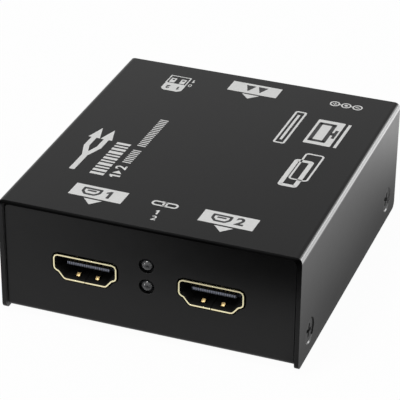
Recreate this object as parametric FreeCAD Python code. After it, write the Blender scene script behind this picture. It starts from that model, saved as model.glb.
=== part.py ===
"""One in, two out video splitter in a folded sheet steel box.

A steel cover with two side walls drops over a steel tray whose front and
rear panels carry the sockets. The tray holds a circuit board on standoffs.
Lengths are millimetres. X is width, Y is depth with the rear at +Y, and Z
is up from the surface that the four rubber feet stand on.
"""
import FreeCAD, Part
import math
import os

Vec = FreeCAD.Vector

# Cover: top sheet with two bent side walls
COVER_WIDTH = 68.0
COVER_DEPTH = 74.6
COVER_HEIGHT = 27.7
COVER_SHEET = 1.0
COVER_BEND_RADIUS = 1.4
COVER_CORNER_RADIUS = 1.6

# Tray: bottom sheet with bent front and rear panels and four side ears
TRAY_SHEET = 1.0
TRAY_BEND_RADIUS = 1.2
TRAY_LIFT = 0.7
TRAY_SIDE_GAP = 0.3
PANEL_SETBACK = 0.7
PANEL_TOP_GAP = 0.5
PANEL_CORNER_RADIUS = 0.9
EAR_LENGTH = 8.8
EAR_HEIGHT = 8.0
EAR_RELIEF = 0.8
EAR_SETBACK = 0.2

# Rubber feet stuck under the tray
FOOT_SIZE = 8.0
FOOT_HEIGHT = 2.0
FOOT_INSET_X = 11.0
FOOT_INSET_Y = 10.5
FOOT_CORNER_CUT = 1.2
FOOT_EDGE_CUT = 0.5

# Screws
THREAD_DIAMETER = 3.0
THREAD_CLEARANCE = 0.02
SCREW_SEAT_CLEARANCE = 0.02
COVER_SCREW_HEAD_DIAMETER = 5.5
COVER_SCREW_LENGTH = 5.0
COVER_SCREW_INSET = 7.4
COVER_SCREW_HEIGHT = 5.8
COVER_SINK_DIAMETER = 6.0
COVER_HOLE_DIAMETER = 3.4
BOARD_SCREW_FLATS = 5.5
BOARD_SCREW_HEAD_HEIGHT = 2.0
BOARD_SCREW_TURN = 20
COVER_SCREW_TURN = 76
BOARD_SCREW_LENGTH = 6.0
CROSS_LENGTH = 3.2
CROSS_WIDTH = 0.8
CROSS_DEPTH = 1.1
CROSS_TIP_SHARE = 0.4

# Standoffs pressed into the tray
STANDOFF_FLATS = 5.0
STANDOFF_COLLAR_FLATS = 4.2
COLLAR_CLEARANCE = 0.02
BOARD_HOLE_INSET_X = 3.9
BOARD_HOLE_FRONT_INSET = 15.2
BOARD_HOLE_REAR_INSET = 18.2
BOARD_HOLE_DIAMETER = 3.3

# Circuit board
BOARD_THICKNESS = 1.6
BOARD_END_GAP = 0.4
BOARD_SIDE_GAP = 0.8
BOARD_CORNER_RADIUS = 1.0
PIN_HOLE_CLEARANCE = 0.1

# Video sockets
SOCKET_OUT_1_INSET = 19.65
SOCKET_OUT_2_INSET = 19.75
SOCKET_IN_X = 0.0
SOCKET_AXIS_HEIGHT = 13.5
SOCKET_WIDTH = 13.9
SOCKET_HEIGHT = 4.75
SOCKET_FLOOR_INSET = 2.25
SOCKET_STEP_INSET = 0.92
SOCKET_SIDE_DROP = 2.74
SOCKET_STEP_DROP = 3.1
SOCKET_TOP_RADIUS = 0.55
SOCKET_SIDE_RADIUS = 0.55
SOCKET_STEP_RADIUS = 0.7
SOCKET_FLOOR_RADIUS = 0.5
SOCKET_WALL = 0.3
SOCKET_LENGTH = 11.3
SOCKET_PROUD = 0.2
SOCKET_LIP_SIDE = 0.05
SOCKET_LIP_TOP = 0.3
SOCKET_LIP_LENGTH = 1.1
SOCKET_LIP_BEND_SHARE = 0.4
SOCKET_LIP_OUTER_SHARE = 0.8
SOCKET_LIP_INNER_SHARE = 0.15
SOCKET_PANEL_GAP = 0.4
SOCKET_SEAM = 0.14
SOCKET_BACK_DROP = 3.4
SOCKET_BACK_INSET = 0.4
SOCKET_TAIL_GAP = 0.2

SPRING_X = 2.2
SPRING_WIDTH = 0.8
SPRING_SHEET = 0.2
SPRING_SLOT_MARGIN = 0.35
SPRING_TIP_DEPTH = 1.35
SPRING_CREST_DEPTH = 2.1
SPRING_ROOT_DEPTH = 5.4
SPRING_RISE = 0.5
SPRING_TIP_RISE = 0.05
SPRING_TIP_GAP = 0.25

LEG_LENGTH = 1.2
LEG_FRONT_DEPTH = 3.4
LEG_REAR_DEPTH = 8.6
LEG_BELOW_BOARD = 0.8

TONGUE_INSET = 2.025
TONGUE_THICKNESS = 1.0
TONGUE_RISE = 0.1
TONGUE_DEPTH = 2.0
TONGUE_NOSE = 0.15
BLOCK_DEPTH = 5.8
BLOCK_LENGTH = 4.4
BLOCK_CLEARANCE = 0.05

CONTACT_COUNT_ABOVE = 10
CONTACT_COUNT_BELOW = 9
CONTACT_MARGIN = 0.65
CONTACT_WIDTH = 0.3
CONTACT_THICKNESS = 0.12
CONTACT_SETBACK = 0.4

# Two lamps, one above the other
LED_X = -0.25
LED_LOWER_HEIGHT = 12.8
LED_PITCH = 5.08
LED_DIAMETER = 3.0
LED_LENGTH = 4.6
LED_PROUD = 0.35
LED_FIT = 0.04
LED_PANEL_HOLE = 3.5
LED_HOLDER_WIDTH = 4.4
LED_HOLDER_LENGTH = 6.5
LED_HOLDER_ROOF = 1.0
LED_HOLDER_GAP = 0.2
LED_LEAD = 0.45
LED_LEAD_SPACING = 2.54
LED_LEAD_STEP = 1.2
LED_TIP_DIAMETER = 1.6
LED_DOME_DEPTH = 0.9

# Power jack
JACK_INSET = 11.5
JACK_WIDTH = 9.0
JACK_HEIGHT = 11.0
JACK_LENGTH = 13.4
JACK_AXIS_ABOVE_BOARD = 6.5
JACK_NOSE_DIAMETER = 7.9
JACK_PROUD = 0.3
JACK_PANEL_GAP = 0.2
JACK_BORE_DIAMETER = 5.9
JACK_BORE_DEPTH = 9.5
JACK_PIN_DIAMETER = 2.0
JACK_PIN_SETBACK = 0.8
JACK_TERMINAL_WIDTH = 2.4
JACK_TERMINAL_THICKNESS = 0.8
JACK_TERMINAL_REACH = 3.2
JACK_SPRING_WIDTH = 2.0
JACK_SPRING_SHEET = 0.3
JACK_SPRING_SINK = 0.1
JACK_SPRING_FRONT = 2.5
JACK_SPRING_BACK_GAP = 1.0
JACK_ROOF_RADIUS = 2.7

# Two way slide switch
DIP_INSET = 15.6
DIP_WAYS = 2
DIP_PITCH = 2.54
DIP_MARGIN = 0.8
DIP_HEIGHT = 7.2
DIP_LENGTH = 6.2
DIP_PROUD = 0.1
DIP_PANEL_GAP = 0.25
DIP_FACE = 0.8
DIP_TRAVEL = 2.0
DIP_LEVER = 1.2
DIP_LEVER_PROUD = 0.5
DIP_CARRIAGE_WIDTH = 1.7
DIP_CARRIAGE_HEIGHT = 2.6
DIP_CARRIAGE_DEPTH = 1.5
DIP_RUNNING_CLEARANCE = 0.05
DIP_PIN = 0.5
DIP_PIN_REACH = 3.0
DIP_PIN_ROWS = 3.0
DIP_PIN_GAP = 1.2
DIP_PIN_EMBED = 0.8
DIP_LEVER_EDGE_CUT = 0.15

# Parts soldered on the board
CHIP_SIZE = 10.0
CHIP_HEIGHT = 1.4
CHIP_STAND = 0.1
CHIP_X = 2.0
CHIP_Y = 2.0
CHIP_CORNER_CUT = 0.8
CHIP_PINS_PER_SIDE = 7
CHIP_PIN_PITCH = 1.2
CHIP_PIN_WIDTH = 0.4
CHIP_PIN_THICKNESS = 0.2
CHIP_PIN_REACH = 0.9
CAN_DIAMETER = 6.3
CAN_HEIGHT = 7.7
CAN_FOOT_SIZE = 6.6
CAN_FOOT_HEIGHT = 1.0
CAN_FOOT_CUT = 1.5
CAN_REAR_GAP = 9.0
CAN_PITCH = 8.0
CRYSTAL_LENGTH = 11.0
CRYSTAL_WIDTH = 4.6
CRYSTAL_HEIGHT = 3.5
CRYSTAL_RIM = 0.5
CRYSTAL_ROUND_SHARE = 0.9
CRYSTAL_FROM_CHIP_X = 14.0
CRYSTAL_FROM_CHIP_Y = 6.5
COIL_SIZE = 6.0
COIL_HEIGHT = 3.0
COIL_CORNER = 1.2
COIL_FROM_JACK = 6.5
COIL_FROM_CHIP_Y = 4.0
MEMORY_LENGTH = 4.9
MEMORY_WIDTH = 3.9
MEMORY_HEIGHT = 1.6
MEMORY_PINS_PER_SIDE = 4
MEMORY_PIN_PITCH = 1.27
MEMORY_PIN_WIDTH = 0.42
MEMORY_PIN_REACH = 0.9
MEMORY_PIN_THICKNESS = 0.35
MEMORY_INSET = 10.9
MEMORY_FROM_CHIP_Y = 5.0
MEMORY_SPACING = 9.0
GUARD_LENGTH = 2.5
GUARD_WIDTH = 1.0
GUARD_HEIGHT = 0.6
GUARD_SPACING = 4.0
GUARD_BEHIND = 1.5
REGULATOR_WIDTH = 6.5
REGULATOR_DEPTH = 3.5
REGULATOR_HEIGHT = 1.7
REGULATOR_LEG_PITCH = 2.3
REGULATOR_LEG_WIDTH = 0.7
REGULATOR_TAB_WIDTH = 3.0
REGULATOR_LEG_REACH = 1.75
REGULATOR_LEG_THICKNESS = 0.4
REGULATOR_FROM_CHIP_Y = 4.0
CERAMIC_LENGTH = 1.6
CERAMIC_WIDTH = 0.8
CERAMIC_PITCH = 3.0
CERAMIC_GAP = 1.6
CERAMICS_PER_ROW = 4
RESISTOR_LENGTH = 1.6
RESISTOR_WIDTH = 1.0
RESISTOR_HEIGHT = 0.45
RESISTOR_PITCH = 2.4
RESISTOR_GAP = 4.6
RESISTORS_PER_ROW = 4

# Levels and planes that the driving sizes set
COVER_LOW = FOOT_HEIGHT - TRAY_LIFT
COVER_TOP = COVER_LOW + COVER_HEIGHT
TRAY_LOW = FOOT_HEIGHT
TRAY_FLOOR = TRAY_LOW + TRAY_SHEET
TRAY_HALF_WIDTH = COVER_WIDTH / 2 - COVER_SHEET - TRAY_SIDE_GAP
PANEL_FACE = COVER_DEPTH / 2 - PANEL_SETBACK
PANEL_BACK = PANEL_FACE - TRAY_SHEET
PANEL_TOP = COVER_TOP - COVER_SHEET - PANEL_TOP_GAP
SOCKET_AXIS_Z = COVER_LOW + SOCKET_AXIS_HEIGHT
BOARD_TOP = SOCKET_AXIS_Z - SOCKET_HEIGHT / 2 - SOCKET_WALL
BOARD_UNDER = BOARD_TOP - BOARD_THICKNESS
BOARD_HALF_WIDTH = TRAY_HALF_WIDTH - TRAY_SHEET - BOARD_SIDE_GAP
BOARD_HALF_DEPTH = PANEL_BACK - BOARD_END_GAP
BOARD_HOLE_X = BOARD_HALF_WIDTH - BOARD_HOLE_INSET_X
BOARD_HOLE_FRONT_Y = -BOARD_HALF_DEPTH + BOARD_HOLE_FRONT_INSET
BOARD_HOLE_REAR_Y = BOARD_HALF_DEPTH - BOARD_HOLE_REAR_INSET
SOCKET_MOUTH = PANEL_FACE + SOCKET_PROUD
SOCKET_OUT_1_X = -COVER_WIDTH / 2 + SOCKET_OUT_1_INSET
SOCKET_OUT_2_X = COVER_WIDTH / 2 - SOCKET_OUT_2_INSET
SOCKET_FLOOR_HALF = SOCKET_WIDTH / 2 - SOCKET_FLOOR_INSET
TONGUE_WIDTH = SOCKET_WIDTH - 2 * TONGUE_INSET
CONTACT_PITCH = (TONGUE_WIDTH - 2 * CONTACT_MARGIN) / (CONTACT_COUNT_ABOVE - 1)
SCREW_Z = COVER_LOW + COVER_SCREW_HEIGHT
SCREW_Y = COVER_DEPTH / 2 - COVER_SCREW_INSET
JACK_X = COVER_WIDTH / 2 - JACK_INSET
JACK_Z = BOARD_TOP + JACK_AXIS_ABOVE_BOARD
DIP_X = -COVER_WIDTH / 2 + DIP_INSET
DIP_WIDTH = DIP_WAYS * DIP_PITCH + 2 * DIP_MARGIN
DIP_Z = BOARD_TOP + DIP_HEIGHT / 2
BIG = 400.0


def block(x0, x1, y0, y1, z0, z1):
    """A box between two corners."""
    return Part.makeBox(x1 - x0, y1 - y0, z1 - z0, Vec(x0, y0, z0))


def rod(diameter, start, direction, length):
    """A cylinder from a point along a direction."""
    return Part.makeCylinder(diameter / 2, length, start, direction)


def cone(first, second, start, direction, length):
    """A cone frustum, by its two diameters."""
    return Part.makeCone(first / 2, second / 2, length, start, direction)


def fused(shapes):
    """One solid from several that meet."""
    shape = shapes[0]
    for other in shapes[1:]:
        shape = shape.fuse(other)
    return shape.removeSplitter()


def in_xz(y):
    """Place flat outline points on an upright plane across the depth."""
    return lambda u, v: Vec(u, y, v)


def in_yz(x):
    """Place flat outline points on an upright plane across the width."""
    return lambda u, v: Vec(x, u, v)


def in_xy(z):
    """Place flat outline points on a level plane."""
    return lambda u, v: Vec(u, v, z)


def rounded_points(corners, place):
    """Start, middle and end of the rounding at each (u, v, radius) corner."""
    ends = []
    count = len(corners)
    for index, (u, v, radius) in enumerate(corners):
        here = Vec(u, v, 0)
        if radius <= 0:
            ends.append((place(u, v),))
            continue
        before = Vec(*corners[index - 1][:2], 0) - here
        after = Vec(*corners[(index + 1) % count][:2], 0) - here
        before.normalize()
        after.normalize()
        half = before.getAngle(after) / 2
        run = radius / math.tan(half)
        middle = before + after
        middle.normalize()
        sagitta = radius / math.sin(half) - radius
        points = (here + before * run, here + middle * sagitta, here + after * run)
        ends.append(tuple(place(point.x, point.y) for point in points))
    return ends


def outline(corners, place):
    """A closed wire through (u, v, radius) corners, each rounded by its radius."""
    ends = rounded_points(corners, place)
    edges = []
    for index, points in enumerate(ends):
        if len(points) == 3:
            edges.append(Part.Arc(*points).toShape())
        following = ends[(index + 1) % len(ends)][0]
        if points[-1].distanceToPoint(following) > 1e-6:
            edges.append(Part.LineSegment(points[-1], following).toShape())
    return Part.Wire(edges)


def facets(corners, place):
    """The points of the same outline with two flats in place of each rounding."""
    return [point for points in rounded_points(corners, place) for point in points]


def closed(points):
    """A closed wire through points."""
    return Part.makePolygon(list(points) + [points[0]])


def prism(corners, place, along):
    """A rounded outline pushed along a vector."""
    return Part.Face(outline(corners, place)).extrude(along)


def flat_prism(corners, place, along):
    """The same with flats in place of roundings, for small pieces."""
    return Part.Face(closed(facets(corners, place))).extrude(along)


def hexagon(x, y, flats, low, height):
    """An upright hexagonal bar, by its width across the flats."""
    corner = flats / math.sqrt(3)
    corners = [(x + corner * math.cos(math.radians(60 * step)),
                y + corner * math.sin(math.radians(60 * step)), 0) for step in range(6)]
    return prism(corners, in_xy(low), Vec(0, 0, height))


def round_bar(centre, profile):
    """A bar turned round a line towards the front, by (depth, radius) points."""
    points = [centre + Vec(radius, depth, 0) for depth, radius in profile]
    return Part.Face(closed(points)).revolve(centre, Vec(0, 1, 0), 360)


def rectangle(u0, u1, v0, v1, radius=0.0):
    """Corners of a rectangle with one radius."""
    return [(u0, v0, radius), (u1, v0, radius), (u1, v1, radius), (u0, v1, radius)]


def turned_to_rear(shape):
    """The same shape seen from the rear: turned half round the upright axis."""
    turned = shape.copy()
    turned.rotate(Vec(0, 0, 0), Vec(0, 0, 1), 180)
    return turned


def moved(shape, x=0.0, y=0.0, z=0.0):
    """A shifted copy."""
    copy = shape.copy()
    copy.translate(Vec(x, y, z))
    return copy


def cross_recess(head, direction, turn):
    """Two crossed slots that a driver enters, narrower across at their floor."""
    half = CROSS_LENGTH / 2
    tip = half * CROSS_TIP_SHARE
    section = [(-half, 1, 0), (-half, 0, 0), (-tip, -CROSS_DEPTH, 0), (tip, -CROSS_DEPTH, 0),
               (half, 0, 0), (half, 1, 0)]
    slots = []
    for quarter in (0, 90):
        slot = prism(section, in_xz(-CROSS_WIDTH / 2), Vec(0, CROSS_WIDTH, 0))
        slot.rotate(Vec(0, 0, 0), Vec(0, 0, 1), quarter + turn)
        slots.append(slot)
    recess = fused(slots)
    recess.Placement = FreeCAD.Placement(head, FreeCAD.Rotation(Vec(0, 0, 1), direction))
    return recess


def cover_screw(side, y):
    """Countersunk screw in a side wall, its head seated in the wall's cone."""
    sink = (COVER_SINK_DIAMETER - COVER_SCREW_HEAD_DIAMETER) / 2 - SCREW_SEAT_CLEARANCE
    inward = Vec(-side, 0, 0)
    face = Vec(side * (COVER_WIDTH / 2 - sink), y, SCREW_Z)
    cone_length = (COVER_SCREW_HEAD_DIAMETER - THREAD_DIAMETER) / 2
    head = cone(COVER_SCREW_HEAD_DIAMETER, THREAD_DIAMETER, face, inward, cone_length)
    stem = rod(THREAD_DIAMETER, face, inward, COVER_SCREW_LENGTH)
    return fused([head, stem]), face


def cover_screws():
    """The four screws that hold the cover, each with its cross turned differently."""
    screws = []
    for side in (1, -1):
        for end in (-1, 1):
            screw, face = cover_screw(side, end * SCREW_Y)
            turn = COVER_SCREW_TURN * (len(screws) + 1)
            screws.append(screw.cut(cross_recess(face, Vec(side, 0, 0), turn)))
    return Part.makeCompound(screws)


def top_cover():
    """Top sheet and two side walls, bent from one sheet, with countersunk holes."""
    half = COVER_WIDTH / 2
    inner = half - COVER_SHEET
    inner_radius = max(COVER_BEND_RADIUS - COVER_SHEET, 0.1)
    low = COVER_LOW
    outer = prism([(-half, low, 0), (half, low, 0),
                   (half, COVER_TOP, COVER_BEND_RADIUS), (-half, COVER_TOP, COVER_BEND_RADIUS)],
                  in_xz(-COVER_DEPTH / 2), Vec(0, COVER_DEPTH, 0))
    ceiling = COVER_TOP - COVER_SHEET
    hollow = prism([(-inner, low - BIG / 8, 0), (inner, low - BIG / 8, 0),
                    (inner, ceiling, inner_radius), (-inner, ceiling, inner_radius)],
                   in_xz(-COVER_DEPTH), Vec(0, 2 * COVER_DEPTH, 0))
    side_view = prism([(-COVER_DEPTH / 2, low, COVER_CORNER_RADIUS),
                       (COVER_DEPTH / 2, low, COVER_CORNER_RADIUS),
                       (COVER_DEPTH / 2, COVER_TOP, 0), (-COVER_DEPTH / 2, COVER_TOP, 0)],
                      in_yz(-half), Vec(COVER_WIDTH, 0, 0))
    cover = outer.cut(hollow).common(side_view)
    for side in (1, -1):
        for end in (-1, 1):
            start = Vec(side * half, end * SCREW_Y, SCREW_Z)
            inward = Vec(-side, 0, 0)
            sink_depth = (COVER_SINK_DIAMETER - COVER_HOLE_DIAMETER) / 2
            cover = cover.cut(cone(COVER_SINK_DIAMETER, COVER_HOLE_DIAMETER, start, inward,
                                   sink_depth))
            cover = cover.cut(rod(COVER_HOLE_DIAMETER, start, inward, COVER_SHEET + 1))
    return cover.removeSplitter()


def side_ear(side, end):
    """A bent tab at the tray's edge that a cover screw threads into."""
    edge = TRAY_HALF_WIDTH - EAR_SETBACK
    bend = TRAY_BEND_RADIUS
    sheet = TRAY_SHEET
    inner_bend = max(bend - sheet, 0.05)
    start = edge - bend - sheet
    corners = [(start, TRAY_LOW, 0), (edge, TRAY_LOW, bend),
               (edge, TRAY_LOW + EAR_HEIGHT, 0), (edge - sheet, TRAY_LOW + EAR_HEIGHT, 0),
               (edge - sheet, TRAY_FLOOR, inner_bend), (start, TRAY_FLOOR, 0)]
    ear = prism(corners, in_xz(-EAR_LENGTH / 2), Vec(0, EAR_LENGTH, 0))
    top = flat_prism([(-EAR_LENGTH / 2, TRAY_LOW, 0), (EAR_LENGTH / 2, TRAY_LOW, 0),
                      (EAR_LENGTH / 2, TRAY_LOW + EAR_HEIGHT, PANEL_CORNER_RADIUS),
                      (-EAR_LENGTH / 2, TRAY_LOW + EAR_HEIGHT, PANEL_CORNER_RADIUS)],
                     in_yz(0), Vec(COVER_WIDTH, 0, 0))
    ear = ear.common(top)
    if side < 0:
        ear = turned_to_rear(ear)
    return moved(ear, y=end * SCREW_Y)


def base_tray():
    """Bottom sheet with front and rear panels bent up, ears, and all cut-outs."""
    face = PANEL_FACE
    back = PANEL_BACK
    bend = TRAY_BEND_RADIUS
    inner_bend = max(bend - TRAY_SHEET, 0.05)
    wide = TRAY_HALF_WIDTH
    section = [(-face, PANEL_TOP, 0), (-face, TRAY_LOW, bend),
               (face, TRAY_LOW, bend), (face, PANEL_TOP, 0),
               (back, PANEL_TOP, 0), (back, TRAY_FLOOR, inner_bend),
               (-back, TRAY_FLOOR, inner_bend), (-back, PANEL_TOP, 0)]
    tray = prism(section, in_yz(-wide), Vec(2 * wide, 0, 0))
    front_view = flat_prism([(-wide, TRAY_LOW, 0), (wide, TRAY_LOW, 0),
                             (wide, PANEL_TOP, PANEL_CORNER_RADIUS),
                             (-wide, PANEL_TOP, PANEL_CORNER_RADIUS)],
                            in_xz(-COVER_DEPTH), Vec(0, 2 * COVER_DEPTH, 0))
    tray = tray.common(front_view)
    notch = TRAY_BEND_RADIUS + EAR_RELIEF
    reach = EAR_LENGTH / 2 + EAR_RELIEF
    for side in (1, -1):
        for end in (-1, 1):
            near, far = sorted((side * (wide - notch), side * (wide + 1)))
            tray = tray.cut(block(near, far, end * SCREW_Y - reach, end * SCREW_Y + reach,
                                  TRAY_LOW - 1, TRAY_FLOOR + 1))
            tray = tray.fuse(side_ear(side, end))
            tray = tray.cut(rod(THREAD_DIAMETER + 2 * THREAD_CLEARANCE,
                                Vec(side * COVER_WIDTH / 2, end * SCREW_Y, SCREW_Z),
                                Vec(-side, 0, 0), COVER_SCREW_LENGTH))
    for x, y in standoff_places():
        tray = tray.cut(hexagon(x, y, STANDOFF_COLLAR_FLATS + 2 * COLLAR_CLEARANCE,
                                TRAY_LOW - 1, TRAY_SHEET + 2))
    hole = socket_cutter()
    tray = tray.cut(moved(hole, x=SOCKET_OUT_1_X))
    tray = tray.cut(moved(hole, x=SOCKET_OUT_2_X))
    tray = tray.cut(moved(turned_to_rear(hole), x=SOCKET_IN_X))
    for z in led_levels():
        tray = tray.cut(rod(LED_PANEL_HOLE, Vec(LED_X, -face - 1, z), Vec(0, 1, 0),
                            TRAY_SHEET + 2))
    tray = tray.cut(rod(JACK_NOSE_DIAMETER + 2 * JACK_PANEL_GAP,
                        Vec(JACK_X, back - 1, JACK_Z), Vec(0, 1, 0), TRAY_SHEET + 2))
    reach_x = DIP_WIDTH / 2 + DIP_PANEL_GAP
    reach_z = DIP_HEIGHT / 2 + DIP_PANEL_GAP
    tray = tray.cut(block(DIP_X - reach_x, DIP_X + reach_x, back - 1, face + 1,
                          DIP_Z - reach_z, DIP_Z + reach_z))
    return tray.removeSplitter()


def rubber_feet():
    """Four square stick-on feet with bevelled edges at the floor."""
    half = FOOT_SIZE / 2
    feet = []
    for x in (-1, 1):
        for y in (-1, 1):
            u = x * (COVER_WIDTH / 2 - FOOT_INSET_X)
            v = y * (COVER_DEPTH / 2 - FOOT_INSET_Y)
            foot = flat_prism(rectangle(u - half, u + half, v - half, v + half,
                                        FOOT_CORNER_CUT), in_xy(0), Vec(0, 0, FOOT_HEIGHT))
            rim = [edge for edge in foot.Edges if edge.BoundBox.ZMax < 1e-6]
            feet.append(foot.makeChamfer(FOOT_EDGE_CUT, rim))
    return Part.makeCompound(feet)


def standoff_places():
    """Where the board is held."""
    return [(x, y) for x in (-BOARD_HOLE_X, BOARD_HOLE_X)
            for y in (BOARD_HOLE_FRONT_Y, BOARD_HOLE_REAR_Y)]


def board_standoffs():
    """Hexagonal spacers, each with a smaller hexagon pressed through the tray."""
    spacers = []
    bore = THREAD_DIAMETER + 2 * THREAD_CLEARANCE
    height = BOARD_UNDER - TRAY_FLOOR
    for x, y in standoff_places():
        spacer = hexagon(x, y, STANDOFF_FLATS, TRAY_FLOOR, height)
        collar = hexagon(x, y, STANDOFF_COLLAR_FLATS, TRAY_LOW, TRAY_SHEET)
        hole = rod(bore, Vec(x, y, TRAY_LOW - 1), Vec(0, 0, 1), height + TRAY_SHEET + 2)
        spacers.append(fused([spacer, collar]).cut(hole))
    return Part.makeCompound(spacers)


def board_screws():
    """Hexagon head screws through the board into the standoffs."""
    screws = []
    for x, y in standoff_places():
        seat = Vec(x, y, BOARD_TOP)
        head = hexagon(x, y, BOARD_SCREW_FLATS, BOARD_TOP, BOARD_SCREW_HEAD_HEIGHT)
        head.rotate(seat, Vec(0, 0, 1), BOARD_SCREW_TURN * len(screws))
        stem = rod(THREAD_DIAMETER, seat, Vec(0, 0, -1), BOARD_SCREW_LENGTH)
        screws.append(fused([head, stem]))
    return Part.makeCompound(screws)


def socket_profile():
    """Right half of a socket's opening, from the top middle down to the floor."""
    top = SOCKET_HEIGHT / 2
    return [(SOCKET_WIDTH / 2, top, SOCKET_TOP_RADIUS),
            (SOCKET_WIDTH / 2, top - SOCKET_SIDE_DROP, SOCKET_SIDE_RADIUS),
            (SOCKET_WIDTH / 2 - SOCKET_STEP_INSET, top - SOCKET_STEP_DROP,
             -SOCKET_STEP_RADIUS),
            (SOCKET_FLOOR_HALF, -top, SOCKET_FLOOR_RADIUS)]


def grown_profile(side, top):
    """The whole socket outline moved outward, by two amounts across and up.

    A negative radius marks the one hollow corner, which tightens as the
    outline grows while the others open up.
    """
    right = socket_profile()
    corners = right + [(-x, z, radius) for x, z, radius in reversed(right)]
    count = len(corners)
    lines = []
    for index in range(count):
        ax, az, _ = corners[index]
        bx, bz, _ = corners[(index + 1) % count]
        length = math.hypot(bx - ax, bz - az)
        nx = -(bz - az) / length
        nz = (bx - ax) / length
        shift = math.hypot(side * nx, top * nz) * (1 if side + top >= 0 else -1)
        lines.append((nx, nz, nx * ax + nz * az + shift))
    grown = []
    for index in range(count):
        a1, b1, c1 = lines[index - 1]
        a2, b2, c2 = lines[index]
        scale = a1 * b2 - a2 * b1
        x = (c1 * b2 - c2 * b1) / scale
        z = (a1 * c2 - a2 * c1) / scale
        radius = corners[index][2]
        if radius < 0:
            radius = max(-radius - (side + top) / 2, 0.2)
        else:
            radius = max(radius + (side + top) / 2, 0.05)
        grown.append((x, z, radius))
    return grown


def socket_ring(depth, side, top):
    """Points of the socket outline at a depth behind the mouth, for the front."""
    corners = [(x, z + SOCKET_AXIS_Z, radius) for x, z, radius in grown_profile(side, top)]
    return facets(corners, in_xz(-SOCKET_MOUTH + depth))


def socket_loft(sections):
    """A closed skin through socket outlines, given as depth, sideways and upward growth."""
    rings = [socket_ring(*section) for section in sections]
    faces = [Part.Face(closed(rings[0])), Part.Face(closed(rings[-1]))]
    for near, far in zip(rings, rings[1:]):
        for index in range(len(near)):
            corners = [near[index - 1], near[index], far[index], far[index - 1]]
            faces.append(Part.Face(closed(corners)))
    return Part.Solid(Part.makeShell(faces))


def socket_cutter():
    """The hole that a socket's lip passes through in a panel."""
    side = SOCKET_WALL + SOCKET_LIP_SIDE + SOCKET_PANEL_GAP
    top = SOCKET_WALL + SOCKET_LIP_TOP + SOCKET_PANEL_GAP
    reach = SOCKET_PROUD + TRAY_SHEET + 1
    return socket_loft([(-1, side, top), (reach, side, top)])


def contact_spring(x, sign):
    """A leaf cut from the shell's wall and bowed into the mouth, to grip the plug."""
    wall = SOCKET_HEIGHT / 2
    root = -SOCKET_MOUTH + SPRING_ROOT_DEPTH
    crest = -SOCKET_MOUTH + SPRING_CREST_DEPTH
    tip = -SOCKET_MOUTH + SPRING_TIP_DEPTH
    line = [(root + SPRING_SLOT_MARGIN, wall), (crest, wall - SPRING_RISE),
            (tip, wall - SPRING_TIP_RISE)]
    below = [(y, SOCKET_AXIS_Z + sign * z) for y, z in line]
    above = [(y, SOCKET_AXIS_Z + sign * (z + SPRING_SHEET)) for y, z in reversed(line)]
    corners = [(y, z, 0) for y, z in below + above]
    return prism(corners, in_yz(x - SPRING_WIDTH / 2), Vec(SPRING_WIDTH, 0, 0))


def spring_window(x, sign):
    """The slot round a spring."""
    half = SPRING_WIDTH / 2 + SPRING_SLOT_MARGIN
    wall = SOCKET_AXIS_Z + sign * SOCKET_HEIGHT / 2
    low, high = sorted((wall - sign * 0.1, wall + sign * (SOCKET_WALL + 0.1)))
    return block(x - half, x + half,
                 -SOCKET_MOUTH + SPRING_TIP_DEPTH - SPRING_TIP_GAP,
                 -SOCKET_MOUTH + SPRING_ROOT_DEPTH,
                 low, high)


def leg_boxes(grow=0.0):
    """Four tabs that go down from the shell's sides through the board."""
    outer = SOCKET_WIDTH / 2 + SOCKET_WALL
    low = BOARD_UNDER - LEG_BELOW_BOARD
    boxes = []
    for side in (-1, 1):
        near, far = sorted((side * (outer - SOCKET_WALL), side * outer))
        for depth in (LEG_FRONT_DEPTH, LEG_REAR_DEPTH):
            y = -SOCKET_MOUTH + depth
            boxes.append(block(near - grow, far + grow, y - grow, y + LEG_LENGTH + grow,
                               low - grow, SOCKET_AXIS_Z))
    return boxes


def socket_shell():
    """Drawn metal shell with a rolled lip, springs, seam, legs and a folded back."""
    wall = SOCKET_WALL
    side = SOCKET_LIP_SIDE
    top = SOCKET_LIP_TOP
    lip = SOCKET_LIP_LENGTH
    bend = SOCKET_LIP_BEND_SHARE * lip
    outside = SOCKET_LIP_OUTER_SHARE
    inside = SOCKET_LIP_INNER_SHARE
    outer = socket_loft([(0, wall + side, wall + top),
                         (bend, wall + outside * side, wall + outside * top),
                         (lip, wall, wall),
                         (SOCKET_LENGTH, wall, wall)])
    inner = socket_loft([(-0.05, side, top),
                         (bend, inside * side, inside * top),
                         (lip, 0, 0),
                         (SOCKET_LENGTH + 1, 0, 0)])
    shell = outer.cut(inner)
    for x in (-SPRING_X, SPRING_X):
        for sign in (-1, 1):
            shell = shell.cut(spring_window(x, sign))
            shell = shell.fuse(contact_spring(x, sign))
    for leg in leg_boxes():
        shell = shell.fuse(leg)
    end = -SOCKET_MOUTH + SOCKET_LENGTH
    ceiling = SOCKET_AXIS_Z + SOCKET_HEIGHT / 2
    half = SOCKET_WIDTH / 2 - SOCKET_BACK_INSET
    shell = shell.fuse(block(-half, half, end - wall, end, ceiling - SOCKET_BACK_DROP,
                             ceiling + wall))
    floor = SOCKET_AXIS_Z - SOCKET_HEIGHT / 2
    way_out = SOCKET_FLOOR_HALF + wall
    tails = -SOCKET_MOUTH + BLOCK_DEPTH + BLOCK_LENGTH - SOCKET_TAIL_GAP
    shell = shell.cut(block(-way_out, way_out, tails, end + 1,
                            floor - 2 * wall, ceiling - SOCKET_BACK_DROP))
    shell = shell.cut(block(-SOCKET_SEAM / 2, SOCKET_SEAM / 2, -SOCKET_MOUTH - 1, end + 1,
                            floor - 2 * wall - top, floor + wall))
    return shell.removeSplitter()


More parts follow.
